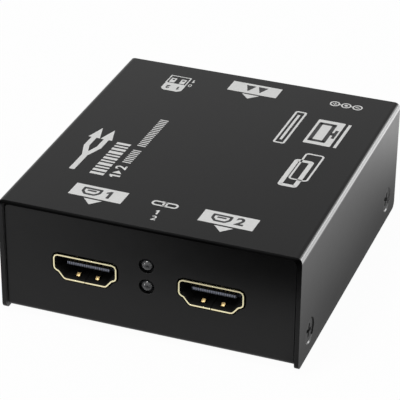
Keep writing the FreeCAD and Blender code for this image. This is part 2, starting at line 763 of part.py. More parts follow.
def row_level(above):
    """Height of a contact row's lower face."""
    middle = SOCKET_AXIS_Z + TONGUE_RISE
    if above:
        return middle + TONGUE_THICKNESS / 2
    return middle - TONGUE_THICKNESS / 2 - CONTACT_THICKNESS


def contact_row(count, above):
    """One row of contacts: along the tongue, through the block, down to the board."""
    low = row_level(above)
    high = low + CONTACT_THICKNESS
    front = -SOCKET_MOUTH + TONGUE_DEPTH + CONTACT_SETBACK
    drop = -SOCKET_MOUTH + BLOCK_DEPTH + BLOCK_LENGTH
    corners = [(front, low, 0), (drop, low, 0), (drop, BOARD_TOP, 0),
               (drop + CONTACT_THICKNESS, BOARD_TOP, 0),
               (drop + CONTACT_THICKNESS, high, 0), (front, high, 0)]
    row = []
    for index in range(count):
        x = (index - (count - 1) / 2) * CONTACT_PITCH
        row.append(prism(corners, in_yz(x - CONTACT_WIDTH / 2), Vec(CONTACT_WIDTH, 0, 0)))
    return row


def socket_contacts():
    """Nineteen contacts, ten over the tongue and nine under it."""
    return Part.makeCompound(contact_row(CONTACT_COUNT_ABOVE, True)
                             + contact_row(CONTACT_COUNT_BELOW, False))


def socket_insulator():
    """Moulded tongue with bevelled nose on the block that holds the contacts."""
    clear = -BLOCK_CLEARANCE
    rear = BLOCK_DEPTH + BLOCK_LENGTH
    body = socket_loft([(BLOCK_DEPTH, clear, clear), (rear, clear, clear)])
    low = SOCKET_AXIS_Z + TONGUE_RISE - TONGUE_THICKNESS / 2
    high = low + TONGUE_THICKNESS
    nose = -SOCKET_MOUTH + TONGUE_DEPTH
    root = -SOCKET_MOUTH + BLOCK_DEPTH + BLOCK_LENGTH / 2
    bevel = TONGUE_NOSE
    tongue = prism([(nose, low + bevel, 0), (nose + bevel, low, 0), (root, low, 0),
                    (root, high, 0), (nose + bevel, high, 0), (nose, high - bevel, 0)],
                   in_yz(-TONGUE_WIDTH / 2), Vec(TONGUE_WIDTH, 0, 0))
    body = body.fuse(tongue)
    half = (TONGUE_WIDTH - CONTACT_MARGIN) / 2
    front = -SOCKET_MOUTH + BLOCK_DEPTH
    for above in (True, False):
        level = row_level(above)
        body = body.cut(block(-half, half, front - 1, front + BLOCK_LENGTH + 1,
                              level, level + CONTACT_THICKNESS))
    return body.removeSplitter()


def led_levels():
    """Heights of the lower and the upper lamp."""
    lower = COVER_LOW + LED_LOWER_HEIGHT
    return [lower, lower + LED_PITCH]


def led_lens(z):
    """A clear lamp: a short bar with a blunt domed front."""
    radius = LED_DIAMETER / 2
    profile = [(LED_LENGTH, 0), (LED_LENGTH, radius), (LED_DOME_DEPTH, radius),
               (0, LED_TIP_DIAMETER / 2), (0, 0)]
    return round_bar(Vec(LED_X, -PANEL_FACE - LED_PROUD, z), profile)


def led_lead(z, side, back_step):
    """A lead that leaves the lamp's back, turns down and enters the board."""
    start = -PANEL_FACE - LED_PROUD + LED_LENGTH
    turn = start + LED_LEAD_STEP + back_step
    x = LED_X + side * LED_LEAD_SPACING / 2 - LED_LEAD / 2
    half = LED_LEAD / 2
    low = BOARD_UNDER - LEG_BELOW_BOARD
    corners = [(start, z - half, 0), (turn - half, z - half, 0), (turn - half, low, 0),
               (turn + half, low, 0), (turn + half, z + half, 0), (start, z + half, 0)]
    return prism(corners, in_yz(x), Vec(LED_LEAD, 0, 0))


def led_leads():
    """Two leads for each lamp; the upper lamp's come down further back."""
    lower, upper = led_levels()
    leads = [led_lead(lower, side, 0) for side in (-1, 1)]
    leads += [led_lead(upper, side, LED_LEAD_SPACING) for side in (-1, 1)]
    return Part.makeCompound(leads)


def led_holder():
    """Black block on the board's edge that holds both lamps."""
    front = -PANEL_BACK + LED_HOLDER_GAP
    top = led_levels()[1] + LED_DIAMETER / 2 + LED_HOLDER_ROOF
    half = LED_HOLDER_WIDTH / 2
    holder = flat_prism([(front, BOARD_TOP, 0), (front + LED_HOLDER_LENGTH, BOARD_TOP, 0),
                         (front + LED_HOLDER_LENGTH, top, LED_HOLDER_ROOF), (front, top, 0)],
                        in_yz(LED_X - half), Vec(2 * half, 0, 0))
    back = -PANEL_FACE - LED_PROUD + LED_LENGTH
    for z in led_levels():
        holder = holder.cut(rod(LED_DIAMETER + 2 * LED_FIT, Vec(LED_X, front - 1, z),
                                Vec(0, 1, 0), back - front + 1))
    return holder.cut(led_leads()).removeSplitter()


def dc_jack_body():
    """Moulded jack with a round nose in the panel and a deep round bore."""
    half = JACK_WIDTH / 2
    front = PANEL_BACK - JACK_PANEL_GAP
    tail = front - JACK_LENGTH
    body = flat_prism([(JACK_X - half, BOARD_TOP, 0), (JACK_X + half, BOARD_TOP, 0),
                       (JACK_X + half, BOARD_TOP + JACK_HEIGHT, JACK_ROOF_RADIUS),
                       (JACK_X - half, BOARD_TOP + JACK_HEIGHT, JACK_ROOF_RADIUS)],
                      in_xz(tail), Vec(0, JACK_LENGTH, 0))
    mouth = PANEL_FACE + JACK_PROUD
    nose = rod(JACK_NOSE_DIAMETER, Vec(JACK_X, front - 1, JACK_Z), Vec(0, 1, 0),
               mouth - front + 1)
    body = fused([body, nose])
    start = Vec(JACK_X, mouth, JACK_Z)
    body = body.cut(rod(JACK_BORE_DIAMETER, start, Vec(0, -1, 0), JACK_BORE_DEPTH))
    body = body.cut(dc_jack_pin())
    body = body.cut(dc_jack_terminals())
    return body.removeSplitter()


def dc_jack_pin():
    """Centre pin with a bevelled tip, held in the body's back wall."""
    tip = PANEL_FACE + JACK_PROUD - JACK_PIN_SETBACK
    radius = JACK_PIN_DIAMETER / 2
    length = tip - PANEL_BACK + JACK_PANEL_GAP + JACK_LENGTH
    profile = [(0, 0), (0, radius / 2), (-radius / 2, radius), (-length, radius), (-length, 0)]
    return round_bar(Vec(JACK_X, tip, JACK_Z), profile)


def dc_jack_terminals():
    """Side leaf that touches the plug, and the blades that go into the board."""
    low = BOARD_UNDER - JACK_TERMINAL_REACH + BOARD_THICKNESS
    root = PANEL_BACK - JACK_PANEL_GAP - JACK_LENGTH
    half = JACK_TERMINAL_WIDTH / 2
    thick = JACK_TERMINAL_THICKNESS
    rear_blade = block(JACK_X - half, JACK_X + half, root - thick, root, low, JACK_Z + half)
    leaf_z = JACK_Z - JACK_BORE_DIAMETER / 2
    leaf_low = leaf_z - JACK_SPRING_SINK
    leaf_high = leaf_low + JACK_SPRING_SHEET
    leaf_front = PANEL_FACE + JACK_PROUD - JACK_SPRING_FRONT
    leaf_back = PANEL_FACE + JACK_PROUD - JACK_BORE_DEPTH + JACK_SPRING_BACK_GAP
    leaf = prism([(leaf_back, leaf_low, 0), (leaf_front, leaf_low, 0),
                  (leaf_front, leaf_high, 0),
                  ((leaf_front + leaf_back) / 2, leaf_z + 2 * JACK_SPRING_SHEET, 0),
                  (leaf_back, leaf_high, 0)],
                 in_yz(JACK_X - JACK_SPRING_WIDTH / 2), Vec(JACK_SPRING_WIDTH, 0, 0))
    stem = block(JACK_X - half, JACK_X + half, leaf_back, leaf_back + thick, low, leaf_z)
    return Part.makeCompound([rear_blade, fused([leaf, stem])])


def dip_ways():
    """Centres of the switch's ways across the width."""
    return [DIP_X + (way - (DIP_WAYS - 1) / 2) * DIP_PITCH for way in range(DIP_WAYS)]


def dip_slider(x):
    """A square lever on a carriage that runs up and down inside the body."""
    face = PANEL_FACE + DIP_PROUD
    low = DIP_Z - DIP_TRAVEL / 2
    half = DIP_LEVER / 2
    lever = block(x - half, x + half, face - DIP_FACE - DIP_CARRIAGE_DEPTH / 2,
                  face + DIP_LEVER_PROUD, low - half, low + half)
    tips = [edge for edge in lever.Edges if edge.BoundBox.YMin > face + DIP_LEVER_PROUD - 1e-6]
    lever = lever.makeChamfer(DIP_LEVER_EDGE_CUT, tips)
    wide = DIP_CARRIAGE_WIDTH / 2
    tall = DIP_CARRIAGE_HEIGHT / 2
    back = face - DIP_FACE - DIP_RUNNING_CLEARANCE
    carriage = block(x - wide, x + wide, back - DIP_CARRIAGE_DEPTH, back,
                     low - tall, low + tall)
    return fused([lever, carriage])


def dip_switch_body():
    """Switch case with one slot and one hidden track for each way."""
    face = PANEL_FACE + DIP_PROUD
    half = DIP_WIDTH / 2
    body = block(DIP_X - half, DIP_X + half, face - DIP_LENGTH, face,
                 BOARD_TOP, BOARD_TOP + DIP_HEIGHT)
    fit = DIP_RUNNING_CLEARANCE
    for x in dip_ways():
        slot_x = DIP_LEVER / 2 + fit
        slot_z = (DIP_LEVER + DIP_TRAVEL) / 2 + fit
        body = body.cut(block(x - slot_x, x + slot_x, face - DIP_FACE - 0.1, face + 1,
                              DIP_Z - slot_z, DIP_Z + slot_z))
        track_x = DIP_CARRIAGE_WIDTH / 2 + fit
        track_z = (DIP_CARRIAGE_HEIGHT + DIP_TRAVEL) / 2 + fit
        body = body.cut(block(x - track_x, x + track_x,
                              face - DIP_FACE - DIP_CARRIAGE_DEPTH - 2 * fit, face - DIP_FACE,
                              DIP_Z - track_z, DIP_Z + track_z))
    return body.cut(Part.makeCompound(dip_pins())).removeSplitter()


def dip_pins(grow=0.0):
    """Two pins for each way, down through the board."""
    face = PANEL_FACE + DIP_PROUD
    half = DIP_PIN / 2 + grow
    pins = []
    for x in dip_ways():
        for step in (0, 1):
            y = face - DIP_FACE - DIP_CARRIAGE_DEPTH - DIP_PIN_GAP - step * DIP_PIN_ROWS / 2
            pins.append(block(x - half, x + half, y - half, y + half,
                              BOARD_TOP - DIP_PIN_REACH, BOARD_TOP + DIP_PIN_EMBED))
    return pins


def splitter_chip():
    """Square chip package with the pin one corner cut off."""
    half = CHIP_SIZE / 2
    left = CHIP_X - half
    front = CHIP_Y - half
    return prism([(left + CHIP_CORNER_CUT, front, 0), (CHIP_X + half, front, 0),
                  (CHIP_X + half, CHIP_Y + half, 0), (left, CHIP_Y + half, 0),
                  (left, front + CHIP_CORNER_CUT, 0)],
                 in_xy(BOARD_TOP + CHIP_STAND), Vec(0, 0, CHIP_HEIGHT))


def splitter_chip_pins():
    """Bent pins along the chip's four sides."""
    half = CHIP_SIZE / 2
    thick = CHIP_PIN_THICKNESS
    shoulder = BOARD_TOP + CHIP_STAND + CHIP_HEIGHT / 2
    end = half + CHIP_PIN_REACH
    corners = [(half, shoulder, 0), (end - thick, shoulder, 0), (end - thick, BOARD_TOP, 0),
               (end, BOARD_TOP, 0), (end, shoulder + thick, 0), (half, shoulder + thick, 0)]
    pins = []
    for quarter in range(4):
        for index in range(CHIP_PINS_PER_SIDE):
            along = (index - (CHIP_PINS_PER_SIDE - 1) / 2) * CHIP_PIN_PITCH
            pin = prism(corners, in_yz(along - CHIP_PIN_WIDTH / 2), Vec(CHIP_PIN_WIDTH, 0, 0))
            pin.rotate(Vec(0, 0, 0), Vec(0, 0, 1), 90 * quarter)
            pins.append(moved(pin, x=CHIP_X, y=CHIP_Y))
    return Part.makeCompound(pins)


def middle_block(x, y, low, length, width, height):
    """A box by the middle of its underside."""
    return block(x - length / 2, x + length / 2, y - width / 2, y + width / 2,
                 low, low + height)


def memory_chip(x, y):
    """A small chip with four flat feet on each of two sides."""
    body = middle_block(x, y, BOARD_TOP + CHIP_STAND, MEMORY_LENGTH, MEMORY_WIDTH,
                        MEMORY_HEIGHT - CHIP_STAND)
    feet = []
    for index in range(MEMORY_PINS_PER_SIDE):
        foot_x = x + (index - (MEMORY_PINS_PER_SIDE - 1) / 2) * MEMORY_PIN_PITCH
        feet.append(middle_block(foot_x, y, BOARD_TOP, MEMORY_PIN_WIDTH,
                                 MEMORY_WIDTH + 2 * MEMORY_PIN_REACH, MEMORY_PIN_THICKNESS))
    return fused([body] + feet)


def memory_chips():
    """Two eight pin chips that hold the display data."""
    x = -BOARD_HALF_WIDTH + MEMORY_INSET
    y = CHIP_Y + MEMORY_FROM_CHIP_Y
    return Part.makeCompound([memory_chip(x, y), memory_chip(x + MEMORY_SPACING, y)])


def guard_chips():
    """Two small leadless protection chips behind each socket."""
    behind = SOCKET_MOUTH - SOCKET_LENGTH - GUARD_BEHIND
    places = [(SOCKET_OUT_1_X, -behind), (SOCKET_OUT_2_X, -behind), (SOCKET_IN_X, behind)]
    return Part.makeCompound([middle_block(x + side * GUARD_SPACING / 2, y, BOARD_TOP,
                                           GUARD_LENGTH, GUARD_WIDTH, GUARD_HEIGHT)
                              for x, y in places for side in (-1, 1)])


def voltage_regulator():
    """Flat regulator with a wide heat tab and three legs."""
    x = JACK_X - COIL_FROM_JACK
    y = CHIP_Y + REGULATOR_FROM_CHIP_Y
    body = middle_block(x, y, BOARD_TOP + CHIP_STAND, REGULATOR_WIDTH, REGULATOR_DEPTH,
                        REGULATOR_HEIGHT - CHIP_STAND)
    offset = REGULATOR_DEPTH / 2
    tab = middle_block(x, y + offset, BOARD_TOP, REGULATOR_TAB_WIDTH,
                       2 * REGULATOR_LEG_REACH, REGULATOR_LEG_THICKNESS)
    legs = [middle_block(x + step * REGULATOR_LEG_PITCH, y - offset, BOARD_TOP,
                         REGULATOR_LEG_WIDTH, 2 * REGULATOR_LEG_REACH,
                         REGULATOR_LEG_THICKNESS) for step in (-1, 0, 1)]
    return fused([body, tab] + legs)


def crystal():
    """Long low metal can with rounded ends on a thin rim."""
    x = CHIP_X - CRYSTAL_FROM_CHIP_X
    y = CHIP_Y - CRYSTAL_FROM_CHIP_Y
    solids = []
    for inset, height in ((0, CRYSTAL_RIM), (CRYSTAL_RIM, CRYSTAL_HEIGHT)):
        long = CRYSTAL_LENGTH / 2 - inset
        wide = CRYSTAL_WIDTH / 2 - inset
        rim = rectangle(x - long, x + long, y - wide, y + wide, wide * CRYSTAL_ROUND_SHARE)
        solids.append(flat_prism(rim, in_xy(BOARD_TOP), Vec(0, 0, height)))
    return fused(solids)


def power_inductor():
    """Square shielded coil with rounded corners."""
    x = JACK_X - COIL_FROM_JACK
    y = CHIP_Y - COIL_FROM_CHIP_Y
    half = COIL_SIZE / 2
    return flat_prism(rectangle(x - half, x + half, y - half, y + half, COIL_CORNER),
                      in_xy(BOARD_TOP), Vec(0, 0, COIL_HEIGHT))


def smoothing_capacitors():
    """Two aluminium cans on square feet, halfway between the input socket and the jack."""
    socket_side = SOCKET_IN_X + SOCKET_WIDTH / 2 + SOCKET_WALL
    jack_side = JACK_X - JACK_WIDTH / 2
    x = (socket_side + jack_side) / 2
    half = CAN_FOOT_SIZE / 2
    cut = CAN_FOOT_CUT
    cans = []
    for step in (0, 1):
        y = BOARD_HALF_DEPTH - CAN_REAR_GAP - step * CAN_PITCH
        foot = prism([(x - half, y - half, 0), (x + half, y - half, 0),
                      (x + half, y + half - cut, 0), (x + half - cut, y + half, 0),
                      (x - half + cut, y + half, 0), (x - half, y + half - cut, 0)],
                     in_xy(BOARD_TOP), Vec(0, 0, CAN_FOOT_HEIGHT))
        can = rod(CAN_DIAMETER, Vec(x, y, BOARD_TOP + CAN_FOOT_HEIGHT), Vec(0, 0, 1),
                  CAN_HEIGHT - CAN_FOOT_HEIGHT)
        cans.append(fused([foot, can]))
    return Part.makeCompound(cans)


def small_row(x, y, count, pitch, length, width, height):
    """A row of small rectangular parts lying on the board, from the left one."""
    return [middle_block(x + index * pitch, y, BOARD_TOP, length, width, height)
            for index in range(count)]


def ceramic_capacitors():
    """Decoupling capacitors in front of and behind the main chip."""
    gap = CHIP_SIZE / 2 + CHIP_PIN_REACH + CERAMIC_GAP
    x = CHIP_X - CERAMIC_PITCH * (CERAMICS_PER_ROW - 1) / 2
    parts = []
    for y in (CHIP_Y - gap, CHIP_Y + gap):
        parts += small_row(x, y, CERAMICS_PER_ROW, CERAMIC_PITCH, CERAMIC_LENGTH,
                           CERAMIC_WIDTH, CERAMIC_WIDTH)
    return Part.makeCompound(parts)


def line_resistors():
    """Two rows of resistors between the main chip and the front sockets."""
    y = CHIP_Y - CHIP_SIZE / 2 - CHIP_PIN_REACH - RESISTOR_GAP
    run = RESISTOR_PITCH * (RESISTORS_PER_ROW - 1)
    parts = []
    for x in (SOCKET_OUT_1_X, SOCKET_OUT_2_X):
        parts += small_row(x - run / 2, y, RESISTORS_PER_ROW, RESISTOR_PITCH,
                           RESISTOR_WIDTH, RESISTOR_LENGTH, RESISTOR_HEIGHT)
    return Part.makeCompound(parts)


def circuit_board():
    """Fibreglass board with rounded corners and every hole that goes through it."""
    wide = BOARD_HALF_WIDTH
    deep = BOARD_HALF_DEPTH
    board = prism(rectangle(-wide, wide, -deep, deep, BOARD_CORNER_RADIUS),
                  in_xy(BOARD_UNDER), Vec(0, 0, BOARD_THICKNESS))
    cutters = [rod(BOARD_HOLE_DIAMETER, Vec(x, y, BOARD_UNDER - 1), Vec(0, 0, 1),
                   BOARD_THICKNESS + 2) for x, y in standoff_places()]
    legs = leg_boxes(PIN_HOLE_CLEARANCE)
    for x, rear in ((SOCKET_OUT_1_X, False), (SOCKET_OUT_2_X, False), (SOCKET_IN_X, True)):
        for leg in legs:
            placed = turned_to_rear(leg) if rear else leg
            cutters.append(moved(placed, x=x))
    cutters += dip_pins(PIN_HOLE_CLEARANCE)
    cutters += [grown_box(solid, PIN_HOLE_CLEARANCE) for solid in pins_through_board()]
    return board.cut(Part.makeCompound(cutters)).removeSplitter()


def pins_through_board():
    """The parts of the lamp leads and jack blades that lie within the board."""
    slab = block(-BIG / 2, BIG / 2, -BIG / 2, BIG / 2, BOARD_UNDER, BOARD_TOP)
    solids = led_leads().common(slab).Solids
    return solids + dc_jack_terminals().common(slab).Solids


def grown_box(solid, grow):
    """The upright box round a solid, larger all round and longer both ways."""
    box = solid.BoundBox
    return block(box.XMin - grow, box.XMax + grow, box.YMin - grow, box.YMax + grow,
                 box.ZMin - 1, box.ZMax + 1)


def build_nodes():
    """Every piece by name."""
    nodes = {
        "top_cover": top_cover(),
        "base_tray": base_tray(),
        "cover_screws": cover_screws(),
        "rubber_feet": rubber_feet(),
        "board_standoffs": board_standoffs(),
        "board_screws": board_screws(),
        "circuit_board": circuit_board(),
        "led_holder": led_holder(),
        "led_lens_lower": led_lens(led_levels()[0]),
        "led_lens_upper": led_lens(led_levels()[1]),
        "led_leads": led_leads(),
        "dc_jack_body": dc_jack_body(),
        "dc_jack_pin": dc_jack_pin(),
        "dc_jack_terminals": dc_jack_terminals(),
        "dip_switch_body": dip_switch_body(),
        "dip_switch_pins": Part.makeCompound(dip_pins()),
        "splitter_chip": splitter_chip(),
        "splitter_chip_pins": splitter_chip_pins(),
        "memory_chips": memory_chips(),
        "guard_chips": guard_chips(),
        "voltage_regulator": voltage_regulator(),
        "crystal": crystal(),
        "power_inductor": power_inductor(),
        "smoothing_capacitors": smoothing_capacitors(),
        "ceramic_capacitors": ceramic_capacitors(),
        "line_resistors": line_resistors(),
    }
    for way, x in enumerate(dip_ways(), start=1):
        nodes["dip_slider_%d" % way] = dip_slider(x)
    pieces = {"shell": socket_shell(), "insulator": socket_insulator(),
              "contacts": socket_contacts()}
    sockets = {"hdmi_out_1": (SOCKET_OUT_1_X, False), "hdmi_out_2": (SOCKET_OUT_2_X, False),
               "hdmi_in": (SOCKET_IN_X, True)}
    for name, (x, rear) in sockets.items():
        for piece, shape in pieces.items():
            placed = turned_to_rear(shape) if rear else shape
            nodes["%s_%s" % (name, piece)] = moved(placed, x=x)
    return nodes


def main():
    """Write one file for each piece."""
    os.makedirs("parts", exist_ok=True)
    for name, shape in build_nodes().items():
        if not shape.isValid():
            raise ValueError("%s isn't a valid solid" % name)
        shape.exportStep("parts/%s.step" % name)
        print("%-22s solids %3d  faces %4d  volume %9.2f"
              % (name, len(shape.Solids), len(shape.Faces), shape.Volume))


main()
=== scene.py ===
# %% [markdown]
# # A small video splitter box
#
# The real thing is a folded sheet steel box, painted satin black, with white
# print on the top, two gilt video sockets and two lamps in front, and a socket,
# a slide switch and a power jack behind. All of it could be modelled again here,
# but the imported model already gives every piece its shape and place. So this
# lesson only dresses it: softer edges, paint, metal, print and light.

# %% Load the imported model
import math

import bmesh
import bpy
from mathutils import Matrix, Quaternion, Vector


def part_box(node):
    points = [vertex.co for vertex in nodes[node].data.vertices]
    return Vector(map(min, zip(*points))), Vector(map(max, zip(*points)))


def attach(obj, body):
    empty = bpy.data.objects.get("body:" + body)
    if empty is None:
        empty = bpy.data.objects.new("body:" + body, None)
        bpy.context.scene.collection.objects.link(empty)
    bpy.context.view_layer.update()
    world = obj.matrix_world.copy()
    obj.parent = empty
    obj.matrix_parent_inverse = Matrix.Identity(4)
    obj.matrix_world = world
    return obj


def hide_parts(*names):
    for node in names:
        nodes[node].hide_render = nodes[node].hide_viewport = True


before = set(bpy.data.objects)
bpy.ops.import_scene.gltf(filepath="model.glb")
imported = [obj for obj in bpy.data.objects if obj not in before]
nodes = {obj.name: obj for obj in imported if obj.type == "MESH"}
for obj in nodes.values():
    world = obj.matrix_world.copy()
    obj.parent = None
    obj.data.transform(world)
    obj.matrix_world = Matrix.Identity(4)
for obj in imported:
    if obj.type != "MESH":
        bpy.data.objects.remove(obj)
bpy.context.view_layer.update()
MM = 0.001
BODY = "housing"
print("nodes:", len(nodes))

# %% [markdown]
# Places could be typed as numbers, but they would stay behind when the model
# changes. So most of them come from the corners of the nodes: the cover gives the
# level of the top that the print lies on, and each socket gives its own middle.

# %% Measure the model
cover_low, cover_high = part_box("top_cover")
TOP = cover_high.z


def middle(node):
    """The middle of a node's box."""
    low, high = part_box(node)
    return (low + high) / 2


print("cover, mm:", [round(v / MM, 1) for v in cover_high - cover_low])

# %% [markdown]
# A camera can be aimed by eye, but this one was fitted to the box's edges in the
# photograph. It stands 20 degrees to the right and 30 degrees up, nearly half a
# metre away, so a long lens keeps the box's sides almost parallel. The half
# degree by which the photographer's camera leaned is kept too.

# %% Camera
AZIMUTH = math.radians(20.167)
ELEVATION = math.radians(29.662)
ROLL = math.radians(0.546)
DISTANCE = 441.568 * MM
SHIFT_RIGHT = -1.721 * MM
SHIFT_UP = 2.169 * MM
AIM = Vector((0, 0, cover_low.z + 12 * MM))
SENSOR_WIDTH = 36
LENS = 175.45
FAR_END = 10

back = Vector((math.sin(AZIMUTH) * math.cos(ELEVATION),
               -math.cos(AZIMUTH) * math.cos(ELEVATION),
               math.sin(ELEVATION)))
level_right = Vector((math.cos(AZIMUTH), math.sin(AZIMUTH), 0))
level_up = back.cross(level_right)
right = math.cos(ROLL) * level_right + math.sin(ROLL) * level_up
up = math.cos(ROLL) * level_up - math.sin(ROLL) * level_right

camera_data = bpy.data.cameras.new("camera")
camera_data.sensor_width = SENSOR_WIDTH
camera_data.lens = LENS
camera_data.clip_end = FAR_END
camera = bpy.data.objects.new("camera", camera_data)
turn = Matrix((right, up, back)).transposed().to_4x4()
place = AIM + back * DISTANCE + right * SHIFT_RIGHT + up * SHIFT_UP
camera.matrix_world = Matrix.Translation(place) @ turn
bpy.context.scene.collection.objects.link(camera)
bpy.context.scene.camera = camera
bpy.context.scene.view_settings.view_transform = "Standard"
print("camera at, mm:", [round(v / MM) for v in place])

# %% [markdown]
# A finish could be one flat colour, but paint, plating and moulded plastic are
# never quite even. So every finish starts from one Principled shader, where a
# noise texture on Object coordinates varies the colour and roughness a little,
# and a finer one bumps the surface.

# %% Finishes: the common helper
DARK_END = 0.3
LIGHT_END = 0.7
BUMP_HEIGHT = 0.05 * MM


def new_material(name):
    """An empty node material and its tree."""
    material = bpy.data.materials.new(name)
    material.use_nodes = True
    return material, material.node_tree


def shade_pair(colour, change):
    """A darker and a lighter version of a colour."""
    low = [max(0.0, c * (1 - change)) for c in colour]
    high = [min(1.0, c * (1 + change)) for c in colour]
    return low + [1.0], high + [1.0]


def noise(tree, coordinates, scale, detail):
    """A noise value on Object coordinates."""
    texture = tree.nodes.new("ShaderNodeTexNoise")
    texture.inputs["Scale"].default_value = scale
    texture.inputs["Detail"].default_value = detail
    tree.links.new(coordinates.outputs["Object"], texture.inputs["Vector"])
    return texture.outputs["Fac"]


def finish_material(name, colour, roughness, metallic=0.0, specular=0.5, change=0.1,
                    patch=900.0, grain=9000.0, bump=0.02, uneven=0.06):
    """Paint, plating or plastic with uneven colour and roughness and a fine grain."""
    material, tree = new_material(name)
    shader = tree.nodes["Principled BSDF"]
    shader.inputs["Metallic"].default_value = metallic
    shader.inputs["Specular IOR Level"].default_value = specular
    coordinates = tree.nodes.new("ShaderNodeTexCoord")
    patches = noise(tree, coordinates, patch, 4)
    ramp = tree.nodes.new("ShaderNodeValToRGB")
    low, high = shade_pair(colour, change)
    ramp.color_ramp.elements[0].color = low
    ramp.color_ramp.elements[1].color = high
    ramp.color_ramp.elements[0].position = DARK_END
    ramp.color_ramp.elements[1].position = LIGHT_END
    tree.links.new(patches, ramp.inputs["Fac"])
    tree.links.new(ramp.outputs["Color"], shader.inputs["Base Color"])
    rough = tree.nodes.new("ShaderNodeMapRange")
    rough.inputs["To Min"].default_value = roughness - uneven
    rough.inputs["To Max"].default_value = roughness + uneven
    tree.links.new(patches, rough.inputs["Value"])
    tree.links.new(rough.outputs["Result"], shader.inputs["Roughness"])
    height = tree.nodes.new("ShaderNodeBump")
    height.inputs["Strength"].default_value = bump
    height.inputs["Distance"].default_value = BUMP_HEIGHT
    tree.links.new(noise(tree, coordinates, grain, 3), height.inputs["Height"])
    tree.links.new(height.outputs["Normal"], shader.inputs["Normal"])
    return material


# %% [markdown]
# Some finishes change with the place on the object: painted shade darkens them
# in a seam, or they are ticked.
# A painted image could hold that, but a few sums on the place itself stay sharp
# at any size. The first helpers do sums inside a node tree.

# %% Finishes: sums inside a node tree


def math_node(tree, operation, *values):
    """One step of arithmetic on numbers or on other nodes' results."""
    step = tree.nodes.new("ShaderNodeMath")
    step.operation = operation
    for index, value in enumerate(values):
        if isinstance(value, float):
            step.inputs[index].default_value = value
        else:
            tree.links.new(value, step.inputs[index])
    return step.outputs[0]


def seen_or_mirrored(tree):
    """A value that is 1 for camera, mirror and glass rays, and 0 for the rest."""
    path = tree.nodes.new("ShaderNodeLightPath")
    first = math_node(tree, "MAXIMUM", path.outputs["Is Camera Ray"],
                      path.outputs["Is Glossy Ray"])
    return math_node(tree, "MAXIMUM", first, path.outputs["Is Transmission Ray"])


def ramp_node(tree, value, low, high, at_low, at_high, kind="SMOOTHSTEP"):
    """A value carried from one range to another, with soft ends unless told."""
    ramp = tree.nodes.new("ShaderNodeMapRange")
    ramp.interpolation_type = kind
    ramp.inputs["From Min"].default_value = low
    ramp.inputs["From Max"].default_value = high
    ramp.inputs["To Min"].default_value = at_low
    ramp.inputs["To Max"].default_value = at_high
    tree.links.new(value, ramp.inputs["Value"])
    return ramp.outputs["Result"]


def mixed(tree, share, first, second):
    """A mix of two values, each a number or another node's result."""
    mix = tree.nodes.new("ShaderNodeMix")
    tree.links.new(share, mix.inputs["Factor"])
    for socket, value in (("A", first), ("B", second)):
        if isinstance(value, float):
            mix.inputs[socket].default_value = value
        else:
            tree.links.new(value, mix.inputs[socket])
    return mix.outputs["Result"]


# %% [markdown]
# Object coordinates are metres from the object's own origin. Each piece has its
# origin at the origin of the scene, so they tell the place on the box. A finish
# could be mixed with a second one by that place, but scaling its own colour and
# shine keeps its patches and grain.

# %% Finishes: shades by place


def place_of(tree):
    """The X, Y and Z of a point on the object, in metres."""
    coordinates = tree.nodes.new("ShaderNodeTexCoord")
    apart = tree.nodes.new("ShaderNodeSeparateXYZ")
    tree.links.new(coordinates.outputs["Object"], apart.inputs[0])
    return apart.outputs["X"], apart.outputs["Y"], apart.outputs["Z"]


def scaled_by(material, factor):
    """Scale a finish's colour and mirror strength by a value of its tree."""
    tree = material.node_tree
    shader = tree.nodes["Principled BSDF"]
    scaled = tree.nodes.new("ShaderNodeVectorMath")
    scaled.operation = "SCALE"
    tree.links.new(shader.inputs["Base Color"].links[0].from_socket, scaled.inputs[0])
    tree.links.new(factor, scaled.inputs["Scale"])
    tree.links.new(scaled.outputs["Vector"], shader.inputs["Base Color"])
    strength = shader.inputs["Specular IOR Level"].default_value
    tree.links.new(math_node(tree, "MULTIPLY", factor, strength),
                   shader.inputs["Specular IOR Level"])


# %% [markdown]
# The paint is satin: nearly black by itself, so that all its greys come from what
# it mirrors. A lighter base colour would look the same from every side, and the
# real box doesn't. On the bends the paint is stretched thin and shines more, so
# they get their own finish with a clear coat. Inside the left wall a lighter grey
# stands in as painted light, and the screw holes and the cut edge get finishes of
# their own for painted shade. White print is matt ink, and the gaps in it show
# the paint again.

# %% Finishes: paint and ink
PAINT_BLACK = (0.004, 0.004, 0.0042)


def satin_paint(name, colour=PAINT_BLACK, roughness=0.34, specular=0.2, bump=0.12,
                uneven=0.015):
    """Powder coat with broad soft patches and a fine grain."""
    return finish_material(name, colour, roughness, specular=specular, patch=300,
                           grain=6000, bump=bump, uneven=uneven)


cover_paint = satin_paint("satin_black_cover_paint")
bend_paint = satin_paint("glossier_paint_on_bends", roughness=0.22, specular=1.0,
                         bump=0.06, uneven=0.06)
bend_shader = bend_paint.node_tree.nodes["Principled BSDF"]
bend_shader.inputs["Coat Weight"].default_value = 0.9
bend_shader.inputs["Coat Roughness"].default_value = 0.15
tray_paint = satin_paint("satin_black_tray_paint", roughness=0.3, specular=0.22,
                         uneven=0.02)
# The cut edge's own finish carries painted shade towards the seam.
painted_edge_shade = satin_paint("satin_black_edge_paint")
# Inside the left wall a lighter grey is painted light.
inner_painted_light = satin_paint("painted_light_inside_cover", (0.05, 0.05, 0.0505), 0.4,
                          uneven=0.06)
# The screw holes' grey carries painted shade.
hole_painted_shade = finish_material("painted_shade_in_screw_hole", (0.09, 0.09, 0.091), 0.5,
                             specular=0.3)
white_ink = finish_material("white_print", (0.8, 0.8, 0.79), 0.6, change=0.04,
                            patch=2500, bump=0.05)
gap_ink = finish_material("bare_gap_in_print", (0.02, 0.02, 0.021), 0.5, change=0.2,
                          bump=0.05)
print("materials with paints and inks:", len(bpy.data.materials))
